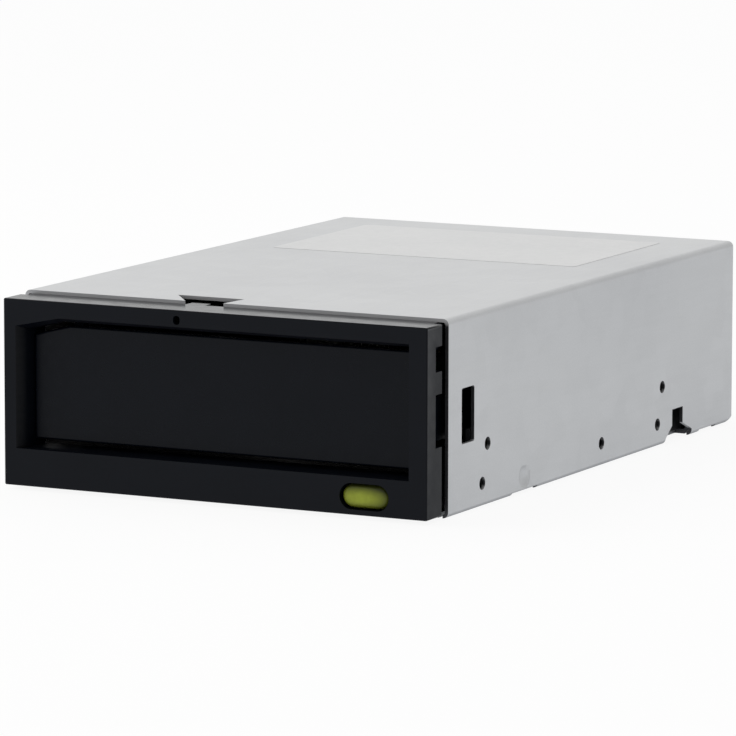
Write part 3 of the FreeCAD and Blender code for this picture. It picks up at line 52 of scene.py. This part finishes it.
# Places that the CAD gives, in millimetres
LID_TOP = 42.0
COVER_BACK = 78.6
PANEL_BACK = 77.8
COVER_SCREWS = [(side * 47.2, z) for side in (-1, 1) for z in (11.0, 31.0)]
FAN_SCREWS = [(28.0 + dx, 22.0 + dz) for dx in (-12.0, 12.0) for dz in (-12.0, 12.0)]
BUTTON_PLACE = (36.0, -79.6, 4.85)

# Directions in the part's frame
FORWARD = (0, -1, 0)
DOWN = (0, 0, -1)


# Camera, at the photograph's viewing angle

CAMERA_PLACE = Vector((0.575304, -1.136600, 0.206406))
CAMERA_YAW = math.radians(27.001)
CAMERA_PITCH = math.radians(8.362)
CAMERA_ROLL = math.radians(0.085)
CAMERA_LENS = 282.99
CAMERA_SENSOR = 36.0


def add_camera():
    back = Vector((math.sin(CAMERA_YAW) * math.cos(CAMERA_PITCH),
                   -math.cos(CAMERA_YAW) * math.cos(CAMERA_PITCH),
                   math.sin(CAMERA_PITCH)))
    level = Vector((math.cos(CAMERA_YAW), math.sin(CAMERA_YAW), 0))
    upright = back.cross(level)
    right = level * math.cos(CAMERA_ROLL) + upright * math.sin(CAMERA_ROLL)
    up = upright * math.cos(CAMERA_ROLL) - level * math.sin(CAMERA_ROLL)
    data = bpy.data.cameras.new("photo_camera")
    data.lens = CAMERA_LENS
    data.sensor_width = CAMERA_SENSOR
    camera = bpy.data.objects.new("photo_camera", data)
    turn = Matrix((right, up, back)).transposed().to_4x4()
    camera.matrix_world = Matrix.Translation(CAMERA_PLACE) @ turn
    bpy.context.scene.collection.objects.link(camera)
    bpy.context.scene.camera = camera


# Stage and light

KEY_PLACE = (-0.62, -0.12, 0.66)
KEY_SIDE = 0.7
KEY_POWER = 2.2
KEY_COLOUR = (1.0, 0.97, 0.93)
TENT_COLOUR = (0.98, 0.985, 0.985)
TENT_LEAN = (-0.27, 0.12, 0.12)
TENT_LEVEL = 0.69
FLOOR_RADIUS = 6.0
FLOOR_DROP = 0.00003
FLOOR_WHITE = 0.91
FLOOR_IN_REFLECTIONS = 0.86
FLOOR_TINT_IN_REFLECTIONS = (0.955, 0.975, 1.0)


def add_key_light():
    """One warm square softbox, high on the left, aimed at the part."""
    data = bpy.data.lights.new("key_softbox", "AREA")
    data.shape = "RECTANGLE"
    data.size = data.size_y = KEY_SIDE
    data.energy = KEY_POWER
    data.color = KEY_COLOUR
    light = bpy.data.objects.new("key_softbox", data)
    light.location = KEY_PLACE
    light.rotation_euler = (-Vector(KEY_PLACE)).to_track_quat("-Z", "Y").to_euler()
    bpy.context.scene.collection.objects.link(light)


def add_world():
    """A white tent, brighter on the left, behind and overhead than on the right."""
    world = bpy.data.worlds.new("tent")
    bpy.context.scene.world = world
    world.use_nodes = True
    nodes, links = world.node_tree.nodes, world.node_tree.links
    background = nodes["Background"]
    background.inputs["Color"].default_value = (*TENT_COLOUR, 1)
    coords = nodes.new("ShaderNodeTexCoord")
    lean = nodes.new("ShaderNodeVectorMath")
    lean.operation = "DOT_PRODUCT"
    lean.inputs[1].default_value = TENT_LEAN
    level = nodes.new("ShaderNodeMath")
    level.operation = "ADD"
    level.inputs[1].default_value = TENT_LEVEL
    links.new(coords.outputs["Generated"], lean.inputs[0])
    links.new(lean.outputs["Value"], level.inputs[0])
    links.new(level.outputs[0], background.inputs["Strength"])


def add_floor():
    """Pale paper that looks nearly white to the camera and in reflections, with a faint shadow."""
    shape = bmesh.new()
    bmesh.ops.create_circle(shape, cap_ends=True, segments=96, radius=FLOOR_RADIUS)
    floor = new_object("studio_floor", shape)
    floor.location = (0, 0, -FLOOR_DROP)
    paint = Paint("floor_paper", roughness=0.9)
    paint.colour_noise((0.93, 0.93, 0.93), (0.96, 0.96, 0.96), scale=3.0, detail=2)
    path = paint.nodes.new("ShaderNodeLightPath")
    mirrored = paint.math("MAXIMUM", path.outputs["Is Glossy Ray"], path.outputs["Is Transmission Ray"])
    seen = paint.math("MAXIMUM", path.outputs["Is Camera Ray"], mirrored)
    white = paint.nodes.new("ShaderNodeEmission")
    strength = paint.spread(mirrored, 0, 1, 1.0, FLOOR_IN_REFLECTIONS)
    tint = paint.mix(mirrored, (1, 1, 1), FLOOR_TINT_IN_REFLECTIONS)
    blend = paint.nodes.new("ShaderNodeMixShader")
    paint.links.new(strength, white.inputs["Strength"])
    paint.links.new(tint, white.inputs["Color"])
    paint.links.new(paint.math("MULTIPLY", seen, FLOOR_WHITE), blend.inputs[0])
    paint.links.new(paint.shader.outputs[0], blend.inputs[1])
    paint.links.new(white.outputs[0], blend.inputs[2])
    paint.links.new(blend.outputs[0], paint.nodes["Material Output"].inputs["Surface"])
    floor.data.materials.append(paint.material)


# Procedural materials. Object coordinates are the part's frame, in metres

NOISE_RANGE = (0.3, 0.7)
RAMP_HEIGHT = 0.5


class Paint:
    """One Principled material with a few shared ways to add surface detail."""

    def __init__(self, name, **values):
        self.material = bpy.data.materials.new(name)
        self.material.use_nodes = True
        self.nodes = self.material.node_tree.nodes
        self.links = self.material.node_tree.links
        self.shader = self.nodes["Principled BSDF"]
        self.bump = None
        for key, value in values.items():
            socket = key.replace("_", " ").title().replace("Ior", "IOR")
            self.shader.inputs[socket].default_value = value

    def coords(self, stretch=(1, 1, 1)):
        source = self.nodes.new("ShaderNodeTexCoord")
        mapping = self.nodes.new("ShaderNodeMapping")
        mapping.inputs["Scale"].default_value = stretch
        self.links.new(source.outputs["Object"], mapping.inputs["Vector"])
        return mapping.outputs["Vector"]

    def noise(self, scale, detail=3.0, roughness=0.5, stretch=(1, 1, 1)):
        texture = self.nodes.new("ShaderNodeTexNoise")
        texture.inputs["Scale"].default_value = scale
        texture.inputs["Detail"].default_value = detail
        texture.inputs["Roughness"].default_value = roughness
        self.links.new(self.coords(stretch), texture.inputs["Vector"])
        return texture.outputs["Fac"]

    def cells(self, scale):
        texture = self.nodes.new("ShaderNodeTexVoronoi")
        texture.inputs["Scale"].default_value = scale
        self.links.new(self.coords(), texture.inputs["Vector"])
        return texture

    def spread(self, value, low, high, to_low, to_high):
        """Map a value's range onto another, clamped."""
        node = self.nodes.new("ShaderNodeMapRange")
        sockets = ("From Min", "From Max", "To Min", "To Max")
        for socket, number in zip(sockets, (low, high, to_low, to_high)):
            node.inputs[socket].default_value = number
        self.links.new(value, node.inputs["Value"])
        return node.outputs["Result"]

    def level(self, noise, to_low=0, to_high=1):
        """Map the range in which a noise mostly lies onto another."""
        return self.spread(noise, *NOISE_RANGE, to_low, to_high)

    def math(self, operation, first, second):
        node = self.nodes.new("ShaderNodeMath")
        node.operation = operation
        for socket, value in zip(node.inputs, (first, second)):
            if isinstance(value, (int, float)):
                socket.default_value = value
            else:
                self.links.new(value, socket)
        return node.outputs[0]

    def mix(self, factor, first, second):
        """Blend two colours, given as numbers or as sockets."""
        node = self.nodes.new("ShaderNodeMix")
        node.data_type = "RGBA"
        self.links.new(factor, node.inputs["Factor"])
        for socket, colour in (("A", first), ("B", second)):
            target = [entry for entry in node.inputs if entry.name == socket and entry.type == "RGBA"][0]
            if isinstance(colour, tuple):
                target.default_value = (*colour, 1)
            else:
                self.links.new(colour, target)
        return [entry for entry in node.outputs if entry.type == "RGBA"][0]

    def facing(self, direction, low, high):
        """One where the surface faces a direction of the part's frame, nought where it doesn't."""
        source = self.nodes.new("ShaderNodeTexCoord")
        along = self.nodes.new("ShaderNodeVectorMath")
        along.operation = "DOT_PRODUCT"
        along.inputs[1].default_value = direction
        self.links.new(source.outputs["Normal"], along.inputs[0])
        return self.spread(along.outputs["Value"], low, high, 0, 1)

    def above(self, height, low, high):
        """One value below a height in millimetres and another above it, with a short ramp between."""
        split = self.nodes.new("ShaderNodeSeparateXYZ")
        self.links.new(self.coords(), split.inputs[0])
        return self.spread(split.outputs["Z"], height * MM, (height + RAMP_HEIGHT) * MM, low, high)

    def colour(self, socket):
        self.links.new(socket, self.shader.inputs["Base Color"])

    def roughness(self, socket):
        self.links.new(socket, self.shader.inputs["Roughness"])

    def colour_noise(self, first, second, scale, detail):
        self.colour(self.mix(self.level(self.noise(scale, detail)), first, second))

    def rough_noise(self, low, high, scale):
        self.roughness(self.level(self.noise(scale), low, high))

    def relief(self, height, depth):
        """Add a bump of a given depth in millimetres, on top of any earlier one."""
        node = self.nodes.new("ShaderNodeBump")
        node.inputs["Strength"].default_value = 1.0
        node.inputs["Distance"].default_value = depth * MM
        self.links.new(height, node.inputs["Height"])
        if self.bump:
            self.links.new(self.bump.outputs["Normal"], node.inputs["Normal"])
        self.links.new(node.outputs["Normal"], self.shader.inputs["Normal"])
        self.bump = node


# Painted shade: front-facing sheet faces are painted near black below the lid; the lid's front cut edge
# is a darker grey, partly bare cut steel and partly painted shade.
LID_FRONT_EDGE_SHADED = (0.50, 0.50, 0.51)
SIDE_FRONT_PAINTED_SHADOW = (0.06, 0.06, 0.065)
LID_EDGE_ABOVE = 40.4
# Painted shade on downward-facing faces.
UNDERSIDE_PAINTED_SHADE = (0.30, 0.305, 0.315)


def zinc_sheet(name, first, second):
    """Zinc-plated sheet: grain along Y, faint crystals, clouding, with painted shade on its front-facing
    faces (near black below the lid, a darker grey on the lid's cut edge, partly bare cut steel and partly
    painted shade) and on its underside.
    """
    paint = Paint(name, metallic=0.75)
    grain = paint.noise(scale=900, detail=4, roughness=0.6, stretch=(1, 0.06, 1))
    crystals = paint.nodes.new("ShaderNodeSeparateColor")
    paint.links.new(paint.cells(scale=180).outputs["Color"], crystals.inputs["Color"])
    cloud = paint.level(paint.noise(scale=22, detail=4))
    speckle = paint.spread(paint.noise(scale=2600, detail=2), 0.35, 0.65, 0, 1)
    tone = paint.math("ADD", paint.math("MULTIPLY", cloud, 0.6), paint.math("MULTIPLY", speckle, 0.4))
    sheet = paint.mix(tone, first, second)
    # Painted shade on front-facing faces: near black below the lid, darker grey on the lid's cut edge.
    front_shade_tone = paint.mix(paint.above(LID_EDGE_ABOVE, 0, 1), SIDE_FRONT_PAINTED_SHADOW, LID_FRONT_EDGE_SHADED)
    front_shaded = paint.mix(paint.facing(FORWARD, 0.75, 0.95), sheet, front_shade_tone)
    # Painted shade: downward-facing faces are painted darker.
    paint.colour(paint.mix(paint.facing(DOWN, 0.15, 0.7), front_shaded, UNDERSIDE_PAINTED_SHADE))
    paint.roughness(paint.math("ADD", paint.spread(crystals.outputs[0], 0, 1, 0.40, 0.46),
                               paint.level(grain, 0, 0.06)))
    paint.relief(grain, 0.004)
    return paint.material


def bare_metal(name, first, second, low=0.28, high=0.42):
    """Plain turned, drawn or plated metal, between two roughnesses."""
    paint = Paint(name, metallic=1.0)
    paint.colour_noise(first, second, scale=60, detail=4)
    paint.rough_noise(low, high, scale=600)
    paint.relief(paint.noise(scale=1200), 0.003)
    return paint.material


def moulded(name, first, second, rough, shine, texture=0.012):
    """Moulded plastic with a spark-eroded texture and slight clouding."""
    paint = Paint(name, specular_ior_level=shine)
    paint.colour_noise(first, second, scale=60, detail=4)
    paint.rough_noise(rough - 0.05, rough + 0.05, scale=400)
    paint.relief(paint.noise(scale=1800, detail=4, roughness=0.65), texture)
    return paint.material


BLACK_FIRST = (0.0012, 0.0022, 0.0048)
BLACK_SECOND = (0.0022, 0.0032, 0.0064)
# Painted sheen on the mouth's lead-in wall.
LEAD_IN_PAINTED_SHEEN = (0.013, 0.0138, 0.0155)
LEAD_IN_NORMAL = (0.894, -0.447, 0.0)
POLISHED_ABOVE = 40.6


def rubbed_plastic(name):
    """The bezel's dark plastic, smooth along its top, with a painted sheen in streaks on the mouth's
    lead-in wall that faces right and forward.
    """
    paint = Paint(name, specular_ior_level=0.15)
    cloud = paint.level(paint.noise(scale=60, detail=4))
    streaks = paint.level(paint.noise(scale=260, stretch=(1, 1, 5)), 0.75, 1)
    # Painted sheen: the lead-in wall facing right and forward is painted paler, in streaks.
    lead_in_sheen_mask = paint.math("MULTIPLY", paint.facing(LEAD_IN_NORMAL, 0.96, 0.99), streaks)
    paint.colour(paint.mix(lead_in_sheen_mask, paint.mix(cloud, BLACK_FIRST, BLACK_SECOND), LEAD_IN_PAINTED_SHEEN))
    polish = paint.above(POLISHED_ABOVE, 0.36, 0.13)
    paint.roughness(paint.math("ADD", polish, paint.level(paint.noise(scale=400), 0, 0.07)))
    paint.relief(paint.noise(scale=1800, detail=4, roughness=0.65), 0.001)
    return paint.material


# Painted glow, painted highlight and painted rim shade of the green button.
PAINTED_GLOW_SHIFT = (-1.1, 0.0, -0.4)
PAINTED_GLOW_REACH = (7.5, 40, 2.6)
BUTTON_RIM_PAINTED_SHADE = (0.028, 0.033, 0.003)
BUTTON_PAINTED_GLOW = (0.335, 0.392, 0.040)


def painted_glow_plastic(name):
    """Green translucent plastic with a painted glow and painted highlight, brightest low and to the left,
    and painted shade dark at its rim.
    """
    paint = Paint(name, roughness=0.36, specular_ior_level=0.25)
    source = paint.nodes.new("ShaderNodeTexCoord")
    mapping = paint.nodes.new("ShaderNodeMapping")
    mapping.vector_type = "TEXTURE"
    mapping.inputs["Location"].default_value = [
        (place + shift) * MM for place, shift in zip(BUTTON_PLACE, PAINTED_GLOW_SHIFT)]
    mapping.inputs["Scale"].default_value = [reach * MM for reach in PAINTED_GLOW_REACH]
    paint.links.new(source.outputs["Object"], mapping.inputs["Vector"])
    ball = paint.nodes.new("ShaderNodeTexGradient")
    ball.gradient_type = "SPHERICAL"
    paint.links.new(mapping.outputs["Vector"], ball.inputs["Vector"])
    # Painted glow: brightest low and to the left, painted shade towards the rim.
    painted_glow = paint.spread(ball.outputs["Fac"], 0.0, 0.7, 0, 1)
    mottle = paint.level(paint.noise(scale=900), 0.85, 1.0)
    paint.colour(paint.mix(paint.math("MULTIPLY", painted_glow, mottle), BUTTON_RIM_PAINTED_SHADE, BUTTON_PAINTED_GLOW))
    paint.relief(paint.noise(scale=700), 0.01)
    return paint.material


COPPER_GAP = 0.3
COPPER_LENGTH = 11.0
COPPER_PITCH = 1.3
MASK_OVER_COPPER = (0.006, 0.045, 0.020)
MASK_OVER_BOARD = (0.012, 0.085, 0.035)
PLATED_DOT = (0.42, 0.40, 0.34)


def laminate(name):
    """Green solder mask over copper runs, with plated dots."""
    paint = Paint(name, roughness=0.35, specular_ior_level=0.5)
    runs = paint.nodes.new("ShaderNodeTexBrick")
    runs.inputs["Scale"].default_value = 1.0
    runs.inputs["Mortar Size"].default_value = COPPER_GAP * MM
    runs.inputs["Brick Width"].default_value = COPPER_LENGTH * MM
    runs.inputs["Row Height"].default_value = COPPER_PITCH * MM
    paint.links.new(paint.coords(), runs.inputs["Vector"])
    dots = paint.spread(paint.cells(scale=320).outputs["Distance"], 0.10, 0.14, 1, 0)
    mask = paint.mix(runs.outputs["Fac"], MASK_OVER_COPPER, MASK_OVER_BOARD)
    paint.colour(paint.mix(dots, mask, PLATED_DOT))
    paint.relief(runs.outputs["Fac"], 0.02)
    return paint.material


def label_paper(name):
    """Coated paper: near white, with fibres and a soft sheen."""
    paint = Paint(name, specular_ior_level=0.4)
    fibres = paint.noise(scale=1500, detail=4, roughness=0.6, stretch=(1, 0.3, 1))
    cloud = paint.noise(scale=40)
    tone = paint.math("ADD", paint.level(fibres, 0, 0.5), paint.level(cloud, 0, 0.5))
    paint.colour(paint.mix(tone, (0.665, 0.67, 0.675), (0.725, 0.725, 0.725)))
    paint.rough_noise(0.45, 0.6, scale=300)
    paint.relief(fibres, 0.004)
    return paint.material


SLOT_MATERIALS = {
    "cover_steel": zinc_sheet("cover_zinc", (0.60, 0.605, 0.615), (0.66, 0.665, 0.67)),
    # The tray's zinc is painted darker, as painted shade where it shows through holes and gaps.
    "tray_steel": zinc_sheet("tray_zinc_painted_shade", (0.24, 0.245, 0.255), (0.31, 0.315, 0.32)),
    "bracket_steel": zinc_sheet("bracket_zinc", (0.50, 0.51, 0.53), (0.58, 0.585, 0.60)),
    "screw_steel": bare_metal("screw_nickel", (0.52, 0.51, 0.49), (0.62, 0.61, 0.59)),
    "pin_steel": bare_metal("pin_steel_ground", (0.55, 0.55, 0.56), (0.64, 0.64, 0.65), 0.2, 0.32),
    "spring_steel": bare_metal("spring_wire", (0.40, 0.39, 0.38), (0.52, 0.51, 0.50), 0.25, 0.4),
    "bezel_plastic": rubbed_plastic("bezel_abs"),
    "door_plastic": moulded("door_abs", BLACK_FIRST, BLACK_SECOND, 0.30, 0.145, 0.003),
    "bay_plastic": moulded("bay_abs", (0.007, 0.0072, 0.0078), (0.011, 0.0112, 0.012), 0.5, 0.2),
    "button_plastic": painted_glow_plastic("button_green_painted_glow"),
    "board_laminate": laminate("board_mask"),
    "chip_plastic": moulded("chip_epoxy", (0.012, 0.012, 0.013), (0.022, 0.022, 0.023), 0.55, 0.4),
    "socket_plastic": moulded("socket_nylon", (0.015, 0.015, 0.016), (0.026, 0.026, 0.027), 0.4, 0.5),
    "contact_brass": bare_metal("contact_gold", (0.75, 0.52, 0.19), (0.83, 0.60, 0.26), 0.2, 0.32),
    "can_aluminium": bare_metal("can_aluminium_drawn", (0.70, 0.70, 0.71), (0.80, 0.80, 0.81), 0.25, 0.4),
    "lamp_resin": moulded("lamp_epoxy", (0.55, 0.58, 0.50), (0.68, 0.70, 0.62), 0.2, 0.5, 0.003),
    "gear_plastic": moulded("gear_acetal", (0.66, 0.65, 0.60), (0.74, 0.73, 0.68), 0.4, 0.5, 0.006),
    "fan_plastic": moulded("fan_pbt", (0.011, 0.011, 0.012), (0.018, 0.018, 0.019), 0.42, 0.4),
}

# The rear panel shares the tray's slot and keeps the plain zinc tone; the tray's darker zinc is painted
# shade where it shows through holes and gaps
NODE_MATERIALS = {
    "rear_panel": zinc_sheet("rear_zinc", (0.52, 0.525, 0.535), (0.60, 0.605, 0.61)),
}


# Meshes

def new_object(name, shape):
    mesh = bpy.data.meshes.new(name)
    shape.to_mesh(mesh)
    shape.free()
    made = bpy.data.objects.new(name, mesh)
    bpy.context.scene.collection.objects.link(made)
    return made


def smooth_nodes(limit):
    """Geometry nodes that drop stored normals, smooth faces and keep edges sharp above an angle."""
    group = bpy.data.node_groups.new("smooth_below_angle", "GeometryNodeTree")
    for way in ("INPUT", "OUTPUT"):
        group.interface.new_socket("Geometry", in_out=way, socket_type="NodeSocketGeometry")
    start = group.nodes.new("NodeGroupInput")
    end = group.nodes.new("NodeGroupOutput")
    angle = group.nodes.new("GeometryNodeInputMeshEdgeAngle")
    below = group.nodes.new("FunctionNodeCompare")
    below.data_type = "FLOAT"
    below.operation = "LESS_EQUAL"
    below.inputs["B"].default_value = limit
    plain = group.nodes.new("GeometryNodeRemoveAttribute")
    plain.inputs["Name"].default_value = "custom_normal"
    faces = group.nodes.new("GeometryNodeSetShadeSmooth")
    faces.domain = "FACE"
    edges = group.nodes.new("GeometryNodeSetShadeSmooth")
    edges.domain = "EDGE"
    group.links.new(start.outputs["Geometry"], plain.inputs["Geometry"])
    group.links.new(plain.outputs["Geometry"], faces.inputs["Geometry"])
    group.links.new(faces.outputs["Geometry"], edges.inputs["Geometry"])
    group.links.new(angle.outputs["Unsigned Angle"], below.inputs["A"])
    group.links.new(below.outputs["Result"], edges.inputs["Shade Smooth"])
    group.links.new(edges.outputs["Geometry"], end.inputs["Geometry"])
    return group


SMOOTH_BELOW = math.radians(28)
ROUND_ABOVE = math.radians(35)
FLAT_BELOW = math.radians(0.2)
WELD_REACH = 0.002
SMOOTH = smooth_nodes(SMOOTH_BELOW)


def soften(thing, width, weld=True):
    """Round a mesh's sharp edges by a width in millimetres and shade the rest smoothly."""
    if weld:
        joined = thing.modifiers.new("join_faces", "WELD")
        joined.merge_threshold = WELD_REACH * MM
        flat = thing.modifiers.new("merge_flats", "DECIMATE")
        flat.decimate_type = "DISSOLVE"
        flat.angle_limit = FLAT_BELOW
    bevel = thing.modifiers.new("round_edges", "BEVEL")
    bevel.limit_method = "ANGLE"
    bevel.angle_limit = ROUND_ABOVE
    bevel.width = width * MM
    bevel.segments = 2
    bevel.use_clamp_overlap = True
    bevel.harden_normals = False
    smooth = thing.modifiers.new("smooth_below_angle", "NODES")
    smooth.node_group = SMOOTH
    even = thing.modifiers.new("even_flats", "WEIGHTED_NORMAL")
    even.keep_sharp = True


EDGE_WIDTHS = {
    "top_cover": 0.10,
    "base_tray": 0.10,
    "rear_panel": 0.10,
    "front_bezel": 0.12,
    "flap_door": 0.12,
    "bay_deck": 0.12,
    "left_guide_rail": 0.12,
    "right_guide_rail": 0.12,
    "lock_bridge": 0.08,
    "lock_lever": 0.08,
    "fan_housing": 0.10,
    "mechanism_frame": 0.08,
    "main_board": 0.05,
    "connector_riser": 0.05,
    "media_connector": 0.08,
    "usb_socket": 0.08,
    "power_socket": 0.08,
    "eject_slider": 0.08,
}


def dress_nodes():
    for name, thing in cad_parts.items():
        slot = thing.data.materials[0].name
        thing.material_slots[0].material = NODE_MATERIALS.get(name, SLOT_MATERIALS[slot])
        if name in EDGE_WIDTHS:
            soften(thing, EDGE_WIDTHS[name])


def rounded_sheet(name, half_width, half_length, radius, thick, steps=8):
    """A flat sheet with rounded corners, standing on z = 0, in millimetres."""
    shape = bmesh.new()
    ring = []
    corners = ((1, 1), (-1, 1), (-1, -1), (1, -1))
    for quarter, (sx, sy) in enumerate(corners):
        for step in range(steps + 1):
            angle = math.pi / 2 * (quarter + step / steps)
            ring.append(shape.verts.new((
                (sx * (half_width - radius) + radius * math.cos(angle)) * MM,
                (sy * (half_length - radius) + radius * math.sin(angle)) * MM,
                0,
            )))
    face = shape.faces.new(ring)
    raised = bmesh.ops.extrude_face_region(shape, geom=[face])
    for vert in raised["geom"]:
        if isinstance(vert, bmesh.types.BMVert):
            vert.co.z += thick * MM
    bmesh.ops.recalc_face_normals(shape, faces=shape.faces)
    return new_object(name, shape)


LABEL_HALF_WIDTH = 37.8
LABEL_HALF_LENGTH = 24.0
LABEL_CORNER = 1.2
LABEL_THICK = 0.07
LABEL_EDGE = 0.025
LABEL_MIDDLE_Y = 42.3
LABEL_SKEW = math.radians(0.6)


def add_label():
    """The lid's label, left bare, slightly askew as in the photograph."""
    label = rounded_sheet("lid_label", LABEL_HALF_WIDTH, LABEL_HALF_LENGTH, LABEL_CORNER, LABEL_THICK)
    label.data.materials.append(label_paper("label_paper"))
    label.location = (0.0, LABEL_MIDDLE_Y * MM, LID_TOP * MM)
    label.rotation_euler = (0, 0, LABEL_SKEW)
    soften(label, LABEL_EDGE, weld=False)
    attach(label, "chassis")


SCREW_HEAD_RADIUS = 2.4
SCREW_SHANK_RADIUS = 1.2
SCREW_TIP = 0.2
SCREW_EDGE = 0.05
THREAD_PITCH = 0.5
THREAD_ROOT = SCREW_SHANK_RADIUS * 0.86
HEAD_WALL = 0.45
RECESS_ARM = 1.35
RECESS_WIDTH = 0.36
RECESS_TAPER = 0.55
RECESS_ABOVE = 0.4
RECESS_BELOW = 1.1
FIRST_SCREW_TURN = 17
NEXT_SCREW_TURN = 31


def turned(shape, profile, segments=40):
    """Turn a profile of (radius, height) points round Z, closed at both ends."""
    rings = []
    for radius, height in profile:
        rings.append([
            shape.verts.new((radius * MM * math.cos(2 * math.pi * k / segments),
                             radius * MM * math.sin(2 * math.pi * k / segments), height * MM))
            for k in range(segments)
        ])
    for low, high in zip(rings, rings[1:]):
        for k in range(segments):
            shape.faces.new((low[k], low[(k + 1) % segments], high[(k + 1) % segments], high[k]))
    shape.faces.new(list(reversed(rings[0])))
    shape.faces.new(rings[-1])


def cross_cutter():
    """Tapered cross that cuts a screw's driver recess, pointing down through z = 0."""
    shape = bmesh.new()
    for length, width in ((RECESS_ARM, RECESS_WIDTH), (RECESS_WIDTH, RECESS_ARM)):
        top = [(sx * length, sy * width, RECESS_ABOVE) for sx, sy in ((1, 1), (-1, 1), (-1, -1), (1, -1))]
        low = [(x * RECESS_TAPER, y * RECESS_TAPER, -RECESS_BELOW) for x, y, z in top]
        upper = [shape.verts.new(Vector(point) * MM) for point in top]
        lower = [shape.verts.new(Vector(point) * MM) for point in low]
        shape.faces.new(upper)
        shape.faces.new(list(reversed(lower)))
        for k in range(4):
            shape.faces.new((upper[k], lower[k], lower[(k + 1) % 4], upper[(k + 1) % 4]))
    bmesh.ops.recalc_face_normals(shape, faces=shape.faces)
    return new_object("cross_cutter", shape)


def screw_profile(head_height, shank_length):
    """Half outline of a domed screw from its tip to its crown, with the thread as ridges."""
    outline = [(SCREW_SHANK_RADIUS * 0.6, -shank_length - SCREW_TIP)]
    for turn in range(int(shank_length / THREAD_PITCH)):
        height = -shank_length + turn * THREAD_PITCH
        outline += [(THREAD_ROOT, height), (SCREW_SHANK_RADIUS, height + THREAD_PITCH / 2)]
    outline += [(THREAD_ROOT, 0), (SCREW_HEAD_RADIUS * 0.98, 0), (SCREW_HEAD_RADIUS, 0.08)]
    for degrees in (0, 18, 36, 54, 72):
        rise = HEAD_WALL + (1 - HEAD_WALL) * math.sin(math.radians(degrees))
        outline.append((SCREW_HEAD_RADIUS * math.cos(math.radians(degrees)), head_height * rise))
    return outline


def screw_mesh(head_height, shank_length):
    """A domed screw with a cross recess, its head up along Z and its shank below."""
    shape = bmesh.new()
    turned(shape, screw_profile(head_height, shank_length))
    blank = new_object("screw_blank", shape)
    cutter = cross_cutter()
    cutter.location.z = head_height * MM
    recess = blank.modifiers.new("recess", "BOOLEAN")
    recess.operation = "DIFFERENCE"
    recess.solver = "EXACT"
    recess.use_self = True
    recess.object = cutter
    bpy.context.view_layer.update()
    evaluated = blank.evaluated_get(bpy.context.evaluated_depsgraph_get())
    made = bpy.data.meshes.new_from_object(evaluated)
    for spent in (blank, cutter):
        bpy.data.objects.remove(spent)
    return made


def add_screws(name, node, places, seat, head_height, shank_length):
    """Screws driven into the back, heads towards +Y, each turned its own way."""
    single = screw_mesh(head_height, shank_length)
    lay_back = Matrix.Rotation(math.radians(-90), 4, "X")
    shape = bmesh.new()
    for index, (x, z) in enumerate(places):
        own = single.copy()
        turn = Matrix.Rotation(math.radians(FIRST_SCREW_TURN + NEXT_SCREW_TURN * index), 4, "Z")
        own.transform(Matrix.Translation(Vector((x, seat, z)) * MM) @ lay_back @ turn)
        shape.from_mesh(own)
        bpy.data.meshes.remove(own)
    screws = new_object(name, shape)
    screws.data.materials.append(SLOT_MATERIALS["screw_steel"])
    soften(screws, SCREW_EDGE, weld=False)
    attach(screws, "chassis")
    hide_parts(node)


BUTTON_SPRING_WIRE = 0.22
BUTTON_SPRING_TURNS = 4


def wound_wire(name, radius, wire, start, length, turns, steps=36, sides=10):
    """A round wire wound along +Y from a start point on its axis, with closed ends, in metres."""
    shape = bmesh.new()
    along = Vector((0, 1, 0))
    rings = []
    for step in range(turns * steps + 1):
        turn = 2 * math.pi * step / steps
        out = Vector((math.cos(turn), 0, math.sin(turn)))
        middle = Vector(start) + out * radius + along * (length * step / (turns * steps))
        angles = [2 * math.pi * side / sides for side in range(sides)]
        rings.append([shape.verts.new(middle + (out * math.cos(angle) + along * math.sin(angle)) * wire)
                      for angle in angles])
    for near, far in zip(rings, rings[1:]):
        for side in range(sides):
            after = (side + 1) % sides
            shape.faces.new((near[side], near[after], far[after], far[side])).smooth = True
    shape.faces.new(rings[0])
    shape.faces.new(rings[-1])
    bmesh.ops.recalc_face_normals(shape, faces=shape.faces)
    return new_object(name, shape)


def add_button_spring():
    """The button's return spring, wound from round wire in place of the CAD spring."""
    low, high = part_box("button_spring")
    wire = BUTTON_SPRING_WIRE * MM
    middle_x, middle_z = (low[0] + high[0]) / 2, (low[2] + high[2]) / 2
    radius = (high[0] - low[0]) / 2 - wire
    length = high[1] - low[1]
    spring = wound_wire("button_spring_wound", radius, wire, (middle_x, low[1] + wire, middle_z),
                        length - 2 * wire, BUTTON_SPRING_TURNS)
    spring.data.materials.append(SLOT_MATERIALS["spring_steel"])
    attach(spring, "chassis")
    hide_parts("button_spring")
    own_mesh(spring)


add_camera()
add_world()
add_key_light()
add_floor()
dress_nodes()
add_label()
add_screws("cover_screws_driven", "cover_screws", COVER_SCREWS, COVER_BACK,
           head_height=1.4, shank_length=2.6)
add_screws("fan_screws_driven", "fan_screws", FAN_SCREWS, PANEL_BACK,
           head_height=1.2, shank_length=7.0)
add_button_spring()

bpy.context.scene.view_settings.view_transform = "Standard"
